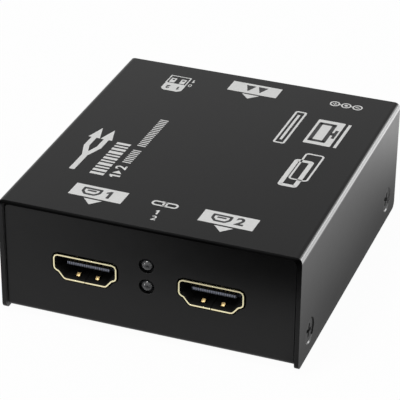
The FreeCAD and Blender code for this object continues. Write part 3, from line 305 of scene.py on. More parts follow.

# %% [markdown]
# Little light reaches the seam between the cover and the front panel. The soft
# lights alone leave it too bright, because they shine in from the front. So
# painted shade darkens the cover's cut edge towards the seam: on the right wall
# over its upper eleven millimetres, and along the top in the lower half of the
# sheet, a little less right of the middle. The upper half of the sheet is mostly
# spared, but less so towards the left end, where it is dark too.

# %% Painted shade on the cover's cut edge
SEAM_DARK = 0.88
edge_tree = painted_edge_shade.node_tree
edge_x, _, edge_z = place_of(edge_tree)
climb = ramp_node(edge_tree, edge_z, TOP - 11 * MM, TOP - 0.8 * MM, 0.0, SEAM_DARK,
                  "LINEAR")
on_right_wall = ramp_node(edge_tree, edge_x, -20 * MM, 20 * MM, 0.0, 1.0)
wall_shade = math_node(edge_tree, "MULTIPLY", climb, on_right_wall)
seam_shade = ramp_node(edge_tree, edge_z, TOP - 1.8 * MM, TOP - 0.9 * MM, 0.0, SEAM_DARK)
deepest = math_node(edge_tree, "MAXIMUM", wall_shade, seam_shade)
past_middle = ramp_node(edge_tree, edge_x, 14 * MM, 22 * MM, 0.0, 0.18)
before_bend = ramp_node(edge_tree, edge_x, 32 * MM, 33 * MM, 1.0, 0.0)
relief = math_node(edge_tree, "MULTIPLY", past_middle, before_bend)
below = math_node(edge_tree, "SUBTRACT", deepest, relief)
upper_half = ramp_node(edge_tree, edge_z, TOP - 0.7 * MM, TOP - 0.15 * MM, 0.0, SEAM_DARK)
from_left = ramp_node(edge_tree, edge_x, -30 * MM, 0.0, 0.2, 1.0, "LINEAR")
lit_half = math_node(edge_tree, "MULTIPLY", upper_half, from_left)
unlit = math_node(edge_tree, "SUBTRACT", below, lit_half)
scaled_by(painted_edge_shade, math_node(edge_tree, "SUBTRACT", 1.0, unlit))
print("edge nodes:", len(edge_tree.nodes))

# %% [markdown]
# The top gets painted shade, darker towards the right, and the sides a painted
# sheen, more colour and shine in a narrow strip at the foot of the bends. The
# screw holes get deeper painted shade at the front than at the rear, and the
# front panel gets painted shade towards its upper right corner. A ramp or two
# along the axes is enough for each of these, where a painted image would need
# its own layout.

# %% Painted shade and sheen on the cover, the screw holes and the front panel
cover_tree = cover_paint.node_tree
cover_x, _, cover_z = place_of(cover_tree)
# Painted shade on the top, darker towards the right.
on_top = ramp_node(cover_tree, cover_z, TOP - 0.2 * MM, TOP - 0.05 * MM, 0.0, 1.0)
top_painted_shade = ramp_node(cover_tree, cover_x, -30 * MM, 25 * MM, 0.0, 0.13, "LINEAR")
darker = math_node(cover_tree, "MULTIPLY", on_top, top_painted_shade)
# Painted sheen in a strip on the sides at the foot of the bends.
near_bend = ramp_node(cover_tree, cover_z, TOP - 2.0 * MM, TOP - 1.5 * MM, 0.0, 1.1)
under_bend = ramp_node(cover_tree, cover_z, TOP - 1.2 * MM, TOP - 0.9 * MM, 1.0, 0.0)
lift = math_node(cover_tree, "MULTIPLY", near_bend, under_bend)
lifted = math_node(cover_tree, "ADD", lift, 1.0)
scaled_by(cover_paint, math_node(cover_tree, "SUBTRACT", lifted, darker))

# Painted shade in the screw holes, deeper at the front.
hole_tree = hole_painted_shade.node_tree
_, hole_y, _ = place_of(hole_tree)
scaled_by(hole_painted_shade, ramp_node(hole_tree, hole_y, -25 * MM, 25 * MM, 0.18, 1.0))

# Painted shade on the front panel towards its upper right corner.
tray_tree = tray_paint.node_tree
tray_x, _, tray_z = place_of(tray_tree)
rightward = ramp_node(tray_tree, tray_x, -5 * MM, 30 * MM, 0.0, 0.5)
upward = ramp_node(tray_tree, tray_z, TOP - 14 * MM, TOP - 3 * MM, 0.0, 1.0)
corner_painted_shade = math_node(tray_tree, "MULTIPLY", rightward, upward)
scaled_by(tray_paint, math_node(tray_tree, "SUBTRACT", 1.0, corner_painted_shade))
print("cover, hole and panel nodes:",
      [len(tree.nodes) for tree in (cover_tree, hole_tree, tray_tree)])

# %% [markdown]
# The socket shells are gilt and fairly bright, so their rims catch the light as
# thin lines. The springs inside are the same metal, but only dull light reaches
# them, so their gold is painted browner as painted shade, and rougher. The
# contacts' gold is painted darker still, as painted shade. The screws are black
# oxide, which is half metal and half dull crust, and the rest is plain nickel,
# tin, brass, zinc and aluminium.

# %% Finishes: metals
socket_gold = finish_material("socket_gilding", (1.0, 0.88, 0.57), 0.2, metallic=1.0,
                              change=0.08, patch=700, bump=0.03)
# The springs' browner gold is painted shade.
shaded_springs_gilt = finish_material("leaf_springs_gilt_in_painted_shade", (0.57, 0.42, 0.2), 0.42,
                              metallic=1.0, bump=0.03)
# The contacts' dark gold is painted shade.
shaded_contacts_gilt = finish_material("contacts_gilt_in_painted_shade", (0.1, 0.075, 0.035), 0.5, metallic=1.0,
                               patch=1500)
dark_screw = finish_material("black_oxide_screw", (0.012, 0.012, 0.0125), 0.3,
                             metallic=0.6, change=0.2, patch=1800, bump=0.05,
                             specular=0.2)
nickel = finish_material("nickel_plate", (0.62, 0.6, 0.56), 0.22, metallic=1.0)
tin = finish_material("tinned_wire", (0.66, 0.67, 0.68), 0.35, metallic=1.0, patch=1800)
brass = finish_material("brass_standoff", (0.72, 0.53, 0.26), 0.32, metallic=1.0)
zinc = finish_material("zinc_board_screw", (0.6, 0.61, 0.64), 0.3, metallic=1.0)
aluminium = finish_material("drawn_aluminium_can", (0.74, 0.75, 0.76), 0.28,
                            metallic=1.0, patch=700)
print("materials with metals:", len(bpy.data.materials))

# %% [markdown]
# Mouldings differ more in shine than in colour: the jack and the chips are nearly
# the same black, and the levers are white. The dark inside of a socket could be
# left to the light alone, but the white room shines into it, so a dull black that
# hardly mirrors stands for the shadow there.

# %% Finishes: plastics, rubber and ceramics
# A dull black that stands for shadow, as painted shade.
painted_shade_black = finish_material("dull_black_of_painted_shade", (0.006, 0.006, 0.006), 0.5,
                               specular=0.15)
tongue_grey = finish_material("blue_grey_tongue", (0.15, 0.165, 0.215), 0.32,
                              change=0.3, patch=2500)
black_plastic = finish_material("black_moulding", (0.014, 0.014, 0.015), 0.42,
                                patch=1200, bump=0.05)
switch_plastic = finish_material("switch_case_moulding", (0.02, 0.02, 0.022), 0.45,
                                 patch=1200, bump=0.06)
lever_white = finish_material("white_lever", (0.78, 0.78, 0.75), 0.4, change=0.04,
                              patch=1500, bump=0.03)
foot_rubber = finish_material("foot_rubber", (0.022, 0.022, 0.023), 0.8, change=0.2,
                              patch=700, grain=4000, bump=0.3, specular=0.3)
chip_plastic = finish_material("chip_moulding", (0.02, 0.02, 0.021), 0.55, patch=2500,
                               bump=0.1)
ferrite = finish_material("ferrite", (0.05, 0.05, 0.055), 0.6, change=0.2, patch=1500,
                          bump=0.15)
ceramic = finish_material("ceramic_capacitor", (0.45, 0.33, 0.2), 0.45, patch=3000)
resistor = finish_material("resistor_glaze", (0.03, 0.03, 0.035), 0.25, patch=3000)
lamp_cup = finish_material("dark_lamp_cup", (0.02, 0.02, 0.021), 0.35, metallic=0.5,
                           specular=0.3, patch=1500)
print("materials with plastics:", len(bpy.data.materials))

# %% [markdown]
# The front of a socket's tongue shows its nineteen ways as fine ticks, half a
# millimetre apart. Cut slots would cost thousands of faces for marks of one pixel,
# so a wave texture across the socket darkens the grey between them instead. The
# tongue's lower edge lies in the dark of the socket, so painted shade darkens it
# there.

# %% Finish: ticks and painted shade on the tongue
TICK_PITCH = 0.5 * MM
WAVE_BANDS = 20
FADE_BOTTOM = 14.6 * MM
FADE_TOP = 14.9 * MM
tongue_tree = tongue_grey.node_tree
tick_place = tongue_tree.nodes.new("ShaderNodeTexCoord")
ticks = tongue_tree.nodes.new("ShaderNodeTexWave")
ticks.inputs["Scale"].default_value = 2 * math.pi / WAVE_BANDS / TICK_PITCH
tongue_tree.links.new(tick_place.outputs["Object"], ticks.inputs["Vector"])
tick_shade = ramp_node(tongue_tree, ticks.outputs["Fac"], 0.0, 1.0, 0.4, 1.6, "LINEAR")
_, _, tongue_z = place_of(tongue_tree)
# Painted shade on the tongue's lower edge.
tongue_painted_shade = ramp_node(tongue_tree, tongue_z, FADE_BOTTOM, FADE_TOP, 0.25, 1.0)
scaled_by(tongue_grey, math_node(tongue_tree, "MULTIPLY", tick_shade, tongue_painted_shade))
print("tick scale:", round(ticks.inputs["Scale"].default_value, 1))

# %% [markdown]
# The circuit board is black resist over copper. Tracks could be drawn one by one,
# but the board lies inside the closed box. A Voronoi texture of straight cells
# stands for the copper areas, which show as a slightly lighter black.

# %% Finish: circuit board
board_black, board_tree = new_material("black_solder_resist")
board_shader = board_tree.nodes["Principled BSDF"]
board_shader.inputs["Roughness"].default_value = 0.28
board_place = board_tree.nodes.new("ShaderNodeTexCoord")
copper_areas = board_tree.nodes.new("ShaderNodeTexVoronoi")
copper_areas.distance = "CHEBYCHEV"
copper_areas.inputs["Scale"].default_value = 420
board_tree.links.new(board_place.outputs["Object"], copper_areas.inputs["Vector"])
board_ramp = board_tree.nodes.new("ShaderNodeValToRGB")
board_ramp.color_ramp.interpolation = "CONSTANT"
board_ramp.color_ramp.elements[0].color = (0.008, 0.009, 0.01, 1)
board_ramp.color_ramp.elements[1].color = (0.016, 0.018, 0.018, 1)
board_ramp.color_ramp.elements[1].position = 0.45
board_tree.links.new(copper_areas.outputs["Distance"], board_ramp.inputs["Fac"])
board_tree.links.new(board_ramp.outputs["Color"], board_shader.inputs["Base Color"])
print("board nodes:", len(board_tree.nodes))

# %% [markdown]
# The lamps are dark resin over a small dark cup. Clear glass would mirror the
# white room and look bright, while unlit lamps in a black panel look nearly
# black. So the resin's dark grey is painted shade: only about a third of the
# light passes it, with a soft blur, and a smooth coat gives the dome its crisp
# highlight.

# %% Finish: lamp resin
# The resin's dark grey is painted shade.
lamp_resin, resin_tree = new_material("lamp_resin_in_painted_shade")
resin = resin_tree.nodes["Principled BSDF"]
resin.inputs["Base Color"].default_value = (0.03, 0.031, 0.033, 1)
resin.inputs["Transmission Weight"].default_value = 0.3
resin.inputs["Specular IOR Level"].default_value = 0.1
resin.inputs["Coat Weight"].default_value = 0.5
resin.inputs["Coat Roughness"].default_value = 0.03
resin.inputs["IOR"].default_value = 1.5
resin_place = resin_tree.nodes.new("ShaderNodeTexCoord")
resin_noise = noise(resin_tree, resin_place, 700, 2)
resin_rough = resin_tree.nodes.new("ShaderNodeMapRange")
resin_rough.inputs["To Min"].default_value = 0.1
resin_rough.inputs["To Max"].default_value = 0.16
resin_tree.links.new(resin_noise, resin_rough.inputs["Value"])
resin_tree.links.new(resin_rough.outputs["Result"], resin.inputs["Roughness"])
print("resin nodes:", len(resin_tree.nodes))

# %% [markdown]
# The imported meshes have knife-sharp edges, and real sheet metal and mouldings
# don't. A bevel modifier could round them, but it would trip over the loose
# triangles. So a softened copy first merges them, then joins flat faces, and only
# then bevels the sharp edges, so that each one catches a thin line of light. The
# weighted normals keep the large flat faces flat.

# %% Softened copies
MERGE = 0.0005 * MM
FLAT_ANGLE = math.radians(0.5)
SHARP_ANGLE = math.radians(35)
SMOOTH_ANGLE = math.radians(40)
BEVEL_STEPS = 2
NORMAL_WEIGHT = 80


def add_object(name, mesh, body=BODY):
    """Put a mesh in the scene, riding on a body."""
    piece = bpy.data.objects.new(name, mesh)
    bpy.context.scene.collection.objects.link(piece)
    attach(piece, body)
    return piece


def smooth_faces(mesh):
    """Smooth shading with the sharper edges kept sharp."""
    for polygon in mesh.polygons:
        polygon.use_smooth = True
    mesh.set_sharp_from_angle(angle=SMOOTH_ANGLE)


def weigh_normals(piece):
    """Let large faces decide the normals of the bevels beside them."""
    weighted = piece.modifiers.new("weighted_normals", "WEIGHTED_NORMAL")
    weighted.keep_sharp = True
    weighted.weight = NORMAL_WEIGHT


def softened_copy(node, width, material, body=BODY):
    """A copy of a node with its sharp edges rounded by a width in millimetres."""
    work = bmesh.new()
    work.from_mesh(nodes[node].data)
    bmesh.ops.remove_doubles(work, verts=work.verts, dist=MERGE)
    bmesh.ops.dissolve_limit(work, angle_limit=FLAT_ANGLE, verts=work.verts,
                             edges=work.edges)
    sharp = [edge for edge in work.edges
             if len(edge.link_faces) == 2 and edge.calc_face_angle(0) > SHARP_ANGLE]
    bmesh.ops.bevel(work, geom=sharp, offset=width * MM, offset_type="OFFSET",
                    segments=BEVEL_STEPS, profile=0.5, affect="EDGES", material=-1,
                    clamp_overlap=True)
    mesh = bpy.data.meshes.new(node + "_soft")
    work.to_mesh(mesh)
    work.free()
    mesh.materials.clear()
    mesh.materials.append(material)
    smooth_faces(mesh)
    piece = add_object(node + "_soft", mesh, body)
    weigh_normals(piece)
    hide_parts(node)
    print(piece.name, "faces", len(mesh.polygons))
    return piece


# %% [markdown]
# The cover is the piece that the eye meets first. Its sheet edges are cut, then
# painted, so they are rounded by a fifth of a millimetre. The tray, the screws,
# the feet and the mouldings get a little less. One paint for the whole cover
# would be simpler, but its bends, cut edges, inside and screw holes each look
# different, so its faces are sorted by where they point and lie. The cut edge and
# the screw holes' cones, except where they face upward, get painted shade, and
# the inside of the left wall painted light. The walls of the screws' cross
# recesses take the dull black of painted shade, because no light reaches them.

# %% Box, screws and feet
HEAD_RADIUS = 2.75 * MM
CONE_REACH = 3.4 * MM
CONE_SLOPES = (0.2, 0.95)
CROSS_REACH = 1.72 * MM
CROSS_DEPTHS = (0.1 * MM, 1.3 * MM)
EDGE_DEPTH = 0.3 * MM
PLAIN, BEND, EDGE, INNER, HOLE = range(5)
CROSS = 1
screw_low, screw_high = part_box("cover_screws")


def off_screw(spot):
    """How far a spot lies from the axis of the nearest cover screw."""
    end = screw_high.y - HEAD_RADIUS if spot.y > 0 else screw_low.y + HEAD_RADIUS
    return math.hypot(spot.y - end, spot.z - (screw_low.z + HEAD_RADIUS))


def cover_finish(spot, normal):
    """Which of the cover's five paints a face has: edge and hole carry painted shade, inner
    painted light.
    """
    sloping = CONE_SLOPES[0] < abs(normal.x) < CONE_SLOPES[1]
    if off_screw(spot) < CONE_REACH and sloping and normal.z < 0.5:
        return HOLE
    if abs(normal.x) > 0.5 and normal.z > 0.05:
        return BEND
    if normal.y < -0.5 and spot.y < cover_low.y + EDGE_DEPTH:
        return EDGE
    if normal.x > 0.5 and spot.x < 0:
        return INNER
    return PLAIN


cover = softened_copy("top_cover", 0.2, cover_paint)
for paint in (bend_paint, painted_edge_shade, inner_painted_light, hole_painted_shade):
    cover.data.materials.append(paint)
for polygon in cover.data.polygons:
    polygon.material_index = cover_finish(polygon.center, polygon.normal)
softened_copy("base_tray", 0.1, tray_paint)
screws = softened_copy("cover_screws", 0.07, dark_screw)
screws.data.materials.append(painted_shade_black)
for polygon in screws.data.polygons:
    depth = screw_high.x - abs(polygon.center.x)
    deep = CROSS_DEPTHS[0] < depth < CROSS_DEPTHS[1]
    in_cross = deep and off_screw(polygon.center) < CROSS_REACH
    if in_cross and abs(polygon.normal.x) < 0.9:
        polygon.material_index = CROSS
softened_copy("rubber_feet", 0.25, foot_rubber)

# %% [markdown]
# A socket's shell is stamped and gilded steel with a rolled lip. Gold all through
# would be right by the book, but seen from in front only the lip and the leaf
# springs shine. So the drawn inside behind the lip, and the outside in the gap
# behind it, get the dull black of painted shade. The tongue's upper faces get the
# same painted shade, and only its front is blue grey.

# %% Socket shells
FLARE_DEPTH = 0.15 * MM
LIP_DEPTH = 0.3 * MM
LIP_END = 0.5 * MM
SHADE_END = 2.0 * MM
SPRING_OFFSET = 2.2 * MM
SPRING_HALF = 0.7 * MM
SPRING_TIP = 1.2 * MM
SPRING_BACK = 3.2 * MM
SPRING_WIDTH = 1.0 * MM
AXIS_BELOW_TOP = 2.98 * MM
DARK, SPRING = 1, 2


def darken_inside(piece, node, front):
    """Inward faces behind the lip, the lip's upward flare and the outside in the gap get
    the black of painted shade, and the springs a browner gold of painted shade.
    """
    piece.data.materials.append(painted_shade_black)
    piece.data.materials.append(shaded_springs_gilt)
    centre_x = middle(node + "_insulator").x
    low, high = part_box(node + "_shell")
    axis_z = high.z - AXIS_BELOW_TOP
    mouth = low.y if front else high.y
    for polygon in piece.data.polygons:
        depth = abs(polygon.center.y - mouth)
        offset = Vector((polygon.center.x - centre_x, 0, polygon.center.z - axis_z))
        facing = polygon.normal.dot(offset.normalized())
        inward = facing < 0.2
        beside = abs(abs(offset.x) - SPRING_OFFSET) < SPRING_HALF
        across = [piece.data.vertices[index].co.x for index in polygon.vertices]
        narrow = max(across) - min(across) < SPRING_WIDTH
        spring = beside and narrow and SPRING_TIP < depth < SPRING_BACK
        in_gap = facing > 0.2 and LIP_END < depth < SHADE_END
        flare = inward and polygon.normal.z > 0.5 and FLARE_DEPTH < depth < LIP_DEPTH
        if in_gap or flare or (inward and depth > LIP_DEPTH and not spring):
            polygon.material_index = DARK
        elif inward and depth > LIP_DEPTH:
            polygon.material_index = SPRING


for socket, in_front in (("hdmi_out_1", True), ("hdmi_out_2", True), ("hdmi_in", False)):
    shell = softened_copy(socket + "_shell", 0.07, socket_gold)
    darken_inside(shell, socket, in_front)
    tongue = softened_copy(socket + "_insulator", 0.05, tongue_grey)
    tongue.data.materials.append(painted_shade_black)
    # The tongue's upper faces get the black of painted shade.
    for polygon in tongue.data.polygons:
        if polygon.normal.z > 0.3:
            polygon.material_index = DARK

# %% [markdown]
# A lamp is a resin bullet with a round dome. It could be cut from a sphere and a
# cylinder, but one half outline, spun round the lamp's axis, gives the whole
# bullet without a seam. A small cup and post inside, made the same way, give it
# the dark middle that an unlit lamp shows.

# %% Lamps
DOME_STEPS = 9
CUP_OUTLINE = [(1.9, 0), (1.9, 0.25), (1.5, 0.75), (1.45, 0.85), (2.2, 0.85), (3.4, 0.5),
               (3.4, 0)]


def spun(name, profile, origin, material, segments):
    """A turned piece from (depth, radius) points in millimetres, facing the front."""
    work = bmesh.new()
    points = [work.verts.new(Vector((radius * MM, depth * MM, 0)))
              for depth, radius in profile]
    edges = [work.edges.new(pair) for pair in zip(points, points[1:])]
    bmesh.ops.spin(work, geom=points + edges, cent=(0, 0, 0), axis=(0, 1, 0),
                   angle=math.radians(360), steps=segments, use_merge=True)
    bmesh.ops.remove_doubles(work, verts=work.verts, dist=MERGE)
    bmesh.ops.recalc_face_normals(work, faces=work.faces)
    bmesh.ops.translate(work, verts=work.verts, vec=origin)
    mesh = bpy.data.meshes.new(name)
    work.to_mesh(mesh)
    work.free()
    mesh.materials.append(material)
    smooth_faces(mesh)
    print(name, "faces", len(mesh.polygons))
    return add_object(name, mesh)


def dome_profile(radius, length):
    """A bullet's half outline, from the tip of its dome to its flat back."""
    points = []
    for step in range(DOME_STEPS + 1):
        angle = math.pi / 2 * step / DOME_STEPS
        points.append((radius * (1 - math.cos(angle)), radius * math.sin(angle)))
    return points + [(length, radius), (length, 0)]


for level in ("lower", "upper"):
    node = "led_lens_" + level
    low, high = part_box(node)
    radius = (high.x - low.x) / 2 / MM
    length = (high.y - low.y) / MM
    tip = Vector(((low.x + high.x) / 2, low.y, (low.z + high.z) / 2))
    lens = spun(node + "_resin", dome_profile(radius, length), tip, lamp_resin, 40)
    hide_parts(node)
    spun(node + "_cup", CUP_OUTLINE, tip, lamp_cup, 24)

# %% [markdown]
# The jack, its pin and the slide switch on the rear panel are mouldings and a
# turned pin. Softened edges are all they need. Each lever rides on its own body,
# so that it slides in its slot while the switch stays with the box.

# %% Rear connectors
softened_copy("dc_jack_body", 0.15, black_plastic)
softened_copy("dc_jack_pin", 0.1, nickel)
softened_copy("dip_switch_body", 0.08, switch_plastic)
softened_copy("dip_slider_1", 0.06, lever_white, body="switch_lever_1")
softened_copy("dip_slider_2", 0.06, lever_white, body="switch_lever_2")

# %% [markdown]
# The pieces inside the closed box could be softened too, but nobody sees their
# edges. They keep their imported shape and only get a finish. The sockets'
# contacts get a dark gold as painted shade.

# %% Pieces inside the box
inside = {
    "board_standoffs": brass, "board_screws": zinc, "circuit_board": board_black,
    "led_holder": black_plastic, "led_leads": tin, "dc_jack_terminals": tin,
    "dip_switch_pins": tin, "splitter_chip": chip_plastic, "splitter_chip_pins": tin,
    "memory_chips": chip_plastic, "guard_chips": chip_plastic,
    "voltage_regulator": chip_plastic, "crystal": nickel, "power_inductor": ferrite,
    "smoothing_capacitors": aluminium, "ceramic_capacitors": ceramic,
    "line_resistors": resistor, "hdmi_out_1_contacts": shaded_contacts_gilt,
    "hdmi_out_2_contacts": shaded_contacts_gilt, "hdmi_in_contacts": shaded_contacts_gilt,
}
for node, material in inside.items():
    nodes[node].data.materials.clear()
    nodes[node].data.materials.append(material)
print("dressed inside:", len(inside))

# %% [markdown]
# The print on the top is screen ink a few hundredths of a millimetre thick. It
# could be a picture on the paint, but real shapes stay crisp at any size. Each
# mark is drawn flat in millimetres round its own middle, given that thickness,
# then turned and laid on the cover. In the photograph the whole print is turned
# by a degree or so, and that is kept.

# %% Print: drawing helpers
INK = 0.03
SUNK = 0.005
OVER_SHARE = 0.6
PRINT_TURN = -1.3
CORNER_STEPS = 4
DISC_STEPS = 24
MARK_MERGE = 0.002
FIGURE_SHARE = 0.73
FIGURE_ONE = [(-0.1, -0.5), (0.13, -0.5), (0.13, 0.5), (-0.04, 0.5), (-0.29, 0.3),
              (-0.29, 0.1), (-0.1, 0.22)]


def corners(x0, x1, y0, y1):
    """The four corners of a rectangle."""
    return [(x0, y0), (x1, y0), (x1, y1), (x0, y1)]


class Mark:
    """A flat drawing in millimetres that becomes one thin piece."""

    def __init__(self):
        self.work = bmesh.new()

    def shape(self, outline, radius=0.0):
        """A filled shape through corners, each rounded by one radius."""
        points = [self.work.verts.new((x, y, 0)) for x, y in outline]
        sides = [self.work.edges.new(pair) for pair in zip(points, points[1:] + points[:1])]
        bmesh.ops.contextual_create(self.work, geom=sides)
        if radius > 0:
            bmesh.ops.bevel(self.work, geom=points, offset=radius, segments=CORNER_STEPS,
                            profile=0.5, affect="VERTICES", material=-1,
                            clamp_overlap=True)
        return self

    def bar(self, x0, x1, y0, y1, radius=0.0):
        """A filled rectangle."""
        return self.shape(corners(x0, x1, y0, y1), radius)

    def frame(self, outline, width, radius=0.0):
        """An outline of one width inside a shape."""
        before = set(self.work.faces)
        self.shape(outline, radius)
        made = [face for face in self.work.faces if face not in before]
        bmesh.ops.inset_region(self.work, faces=made, thickness=width,
                               use_boundary=True, use_even_offset=True)
        bmesh.ops.delete(self.work, geom=made, context="FACES_ONLY")
        return self

    def disc(self, x, y, radius):
        """A filled circle."""
        bmesh.ops.create_circle(self.work, cap_ends=True, radius=radius,
                                segments=DISC_STEPS,
                                matrix=Matrix.Translation((x, y, 0)))
        return self

    def one(self, size, x=0.0, y=0.0):
        """An own figure one by its height and middle."""
        return self.shape([(x + u * size, y + v * size) for u, v in FIGURE_ONE])

    def numeral(self, text, size, x=0.0, y=0.0, bold=0.0):
        """Another figure, in the built-in face, by its height and middle."""
        curve = bpy.data.curves.new("numeral", "FONT")
        curve.body = text
        curve.size = size / FIGURE_SHARE
        curve.align_x = "CENTER"
        curve.align_y = "CENTER"
        curve.offset = bold
        holder = bpy.data.objects.new("numeral", curve)
        bpy.context.scene.collection.objects.link(holder)
        bpy.context.view_layer.update()
        mesh = bpy.data.meshes.new_from_object(holder)
        mesh.transform(Matrix.Translation((x, y, 0)))
        self.work.from_mesh(mesh)
        bpy.data.objects.remove(holder)
        bpy.data.curves.remove(curve)
        bpy.data.meshes.remove(mesh)
        return self

    def lay(self, name, x, y, angle=0.0, material=white_ink, over=0):
        """Thicken the drawing and lay it on the cover at a place in millimetres."""
        work = self.work
        bmesh.ops.remove_doubles(work, verts=work.verts, dist=MARK_MERGE)
        bmesh.ops.recalc_face_normals(work, faces=work.faces)
        for face in work.faces:
            if face.normal.z < 0:
                face.normal_flip()
        made = bmesh.ops.extrude_face_region(work, geom=work.faces[:])
        raised = [item for item in made["geom"] if isinstance(item, bmesh.types.BMVert)]
        bmesh.ops.translate(work, verts=raised, vec=(0, 0, INK))
        bmesh.ops.recalc_face_normals(work, faces=work.faces)
        level = TOP / MM + over * INK * OVER_SHARE - SUNK
        where = (Matrix.Scale(MM, 4) @ Matrix.Translation((x, y, level))
                 @ Matrix.Rotation(math.radians(angle + PRINT_TURN), 4, "Z"))
        bmesh.ops.transform(work, matrix=where, verts=work.verts)
        mesh = bpy.data.meshes.new(name)
        work.to_mesh(mesh)
        work.free()
        mesh.materials.append(material)
        print(name, "faces", len(mesh.polygons))
        return add_object(name, mesh)


# %% [markdown]
# Each socket has a white plate, and an arrow head that points at its edge of the
# box. On the real box the plates carry words. Here the outputs have the outline
# of a socket and a plain number, and the input has two arrow heads that point
# inward, so the print says the same without any lettering.

# %% Print: plates for the sockets
PLATE_LONG = 12.2
PLATE_WIDE = 4.9
SOCKET_OUTLINE = [(-3.9, -0.3), (-2.9, -1.5), (-0.4, -1.5), (0.6, -0.3), (0.6, 1.5),
                  (-3.9, 1.5)]
OUT_1 = (-14.8, -27.5)
OUT_2 = (14.95, -28.2)
INPUT = (0.05, 31.6)


def socket_plate(name, spot):
    """A white plate with an arrow head under its middle."""
    long = PLATE_LONG / 2
    wide = PLATE_WIDE / 2
    plate = Mark().bar(-long, long, -wide, wide)
    plate.shape([(-2.1, -wide - 0.55), (0, -wide - 2.7), (2.1, -wide - 0.55)])
    return plate.lay(name, *spot)


def socket_label():
    """A socket's outline with its tongue."""
    return Mark().frame(SOCKET_OUTLINE, 0.62, 0.3).bar(-2.65, -0.65, 0.05, 0.6)


socket_plate("print_plate_out_1", OUT_1)
socket_plate("print_plate_out_2", OUT_2)
socket_plate("print_plate_in", INPUT)
socket_label().one(3.0, x=2.5).lay("print_number_out_1", *OUT_1, material=gap_ink, over=1)
socket_label().numeral("2", 3.0, x=2.5, bold=0.13).lay(
    "print_number_out_2", *OUT_2, material=gap_ink, over=1)
inward = Mark().shape([(-2.5, 1.5), (-1.3, -1.5), (-0.1, 1.5)])
inward.shape([(0.5, 1.5), (1.7, -1.5), (2.9, 1.5)])
inward.lay("print_arrows_in", *INPUT, material=gap_ink, over=1)

# %% [markdown]
# Between the plates stands a mark for the two lamps: a link sign and the numbers
# of the lamps below it. Two rounded frames that overlap make the link sign.

# %% Print: lamp marks
link = Mark()
link.frame(corners(-3.0, 0.6, -1.0, 1.0), 0.45, 0.9)
link.frame(corners(-0.6, 3.0, -1.0, 1.0), 0.45, 0.9)
link.lay("print_link_sign", 0.2, -26.9)
Mark().one(1.75).lay("print_lamp_number_1", -0.1, -30.5)
Mark().numeral("2", 1.85, bold=0.03).lay("print_lamp_number_2", 0.05, -33.05)

# %% [markdown]
# Where the real box carries its name, this one has a generic sign: one line that
# forks into two arrows, with plain numbers and rows of strokes under it. They fill
# the same patches, so the top keeps the photograph's layout.

# %% Print: fork sign, bars, strokes and numbers
BAR_WIDTHS = (0.9, 0.9, 0.6, 1.1, 0.6, 0.9, 0.6, 1.1, 0.9, 0.6, 0.9)
BAR_GAP = 0.62
STROKE_PITCH = 0.83
STROKE_WIDTH = 0.35
LOWER_ROW = (-14.3, -5.6)
fork = Mark()
fork.bar(-10.0, -3.2, -0.65, 0.65)
fork.shape([(-3.2, -0.65), (1.0, -2.1), (5.2, -2.1), (5.2, -0.9), (1.4, -0.9),
            (-1.4, 0.0), (1.4, 0.9), (5.2, 0.9), (5.2, 2.1), (1.0, 2.1), (-3.2, 0.65)])
fork.shape([(5.2, -2.9), (10.0, -1.5), (5.2, -0.1)])
fork.shape([(5.2, 0.1), (10.0, 1.5), (5.2, 2.9)])
fork.lay("print_fork_sign", -24.35, -9.6, 90)
bars = Mark()
start = -7.9
for width in BAR_WIDTHS:
    bars.bar(start, start + width, -1.65, 1.65)
    start += width + BAR_GAP
bars.lay("print_bars", -18.45, -12.0, 90)
one_to_two = Mark().one(2.5, x=-13.5).numeral("2", 2.5, x=-9.6, bold=0.09)
one_to_two.shape([(-12.4, -1.1), (-11.1, 0.0), (-12.4, 1.1)])
one_to_two.lay("print_one_to_two", *LOWER_ROW, 90)
strokes = Mark()
for step in range(27):
    if step not in (8, 9):
        left = -7.2 + STROKE_PITCH * step
        strokes.bar(left, left + STROKE_WIDTH, -1.0, 1.0)
strokes.lay("print_strokes", *LOWER_ROW, 90)

# %% [markdown]
# The right half of the top shows what the box does: a socket, a screen on a white
# plate, and two screens, one in front of the other. Frames and bars are enough
# for all of them, and the screen on its plate is drawn in the dark gap material.

# %% Print: picture signs
SCREEN = (21.9, 16.5)
sign = Mark().frame(corners(-8.2, 8.2, -1.4, 1.4), 0.5, 0.6)
sign.bar(-6.4, 6.4, -0.25, 0.35)
sign.lay("print_socket_sign", 13.8, 16.4, 90)
Mark().bar(-6.0, 6.0, -3.2, 3.2, 0.25).lay("print_screen_plate", *SCREEN, 90)
screen = Mark().frame(corners(-4.7, 4.7, -1.6, 2.6), 0.95, 0.3)
screen.bar(-2.0, 2.0, -2.8, -2.1)
screen.bar(-0.6, 0.6, -2.2, -1.5)
screen.lay("print_screen_in_plate", *SCREEN, 90, gap_ink, 1)
Mark().bar(-5.9, 5.9, -0.35, 0.35).lay("print_screen_rule", 26.2, 16.3, 90)
layers = Mark().frame(corners(-8.0, 4.6, -1.6, 2.9), 1.05, 0.9)
layers.frame(corners(-4.6, 8.0, -2.9, 1.6), 0.45, 0.9)
layers.lay("print_two_screens", 22.4, -2.1, 90)

# %% [markdown]
# At the rear edge stand the marks that are read from behind. Three rings with a
# dot, a minus and a plus give the polarity of the power plug, and a small picture
# of the slide switch has its numbers on a plate and its two levels beside it.

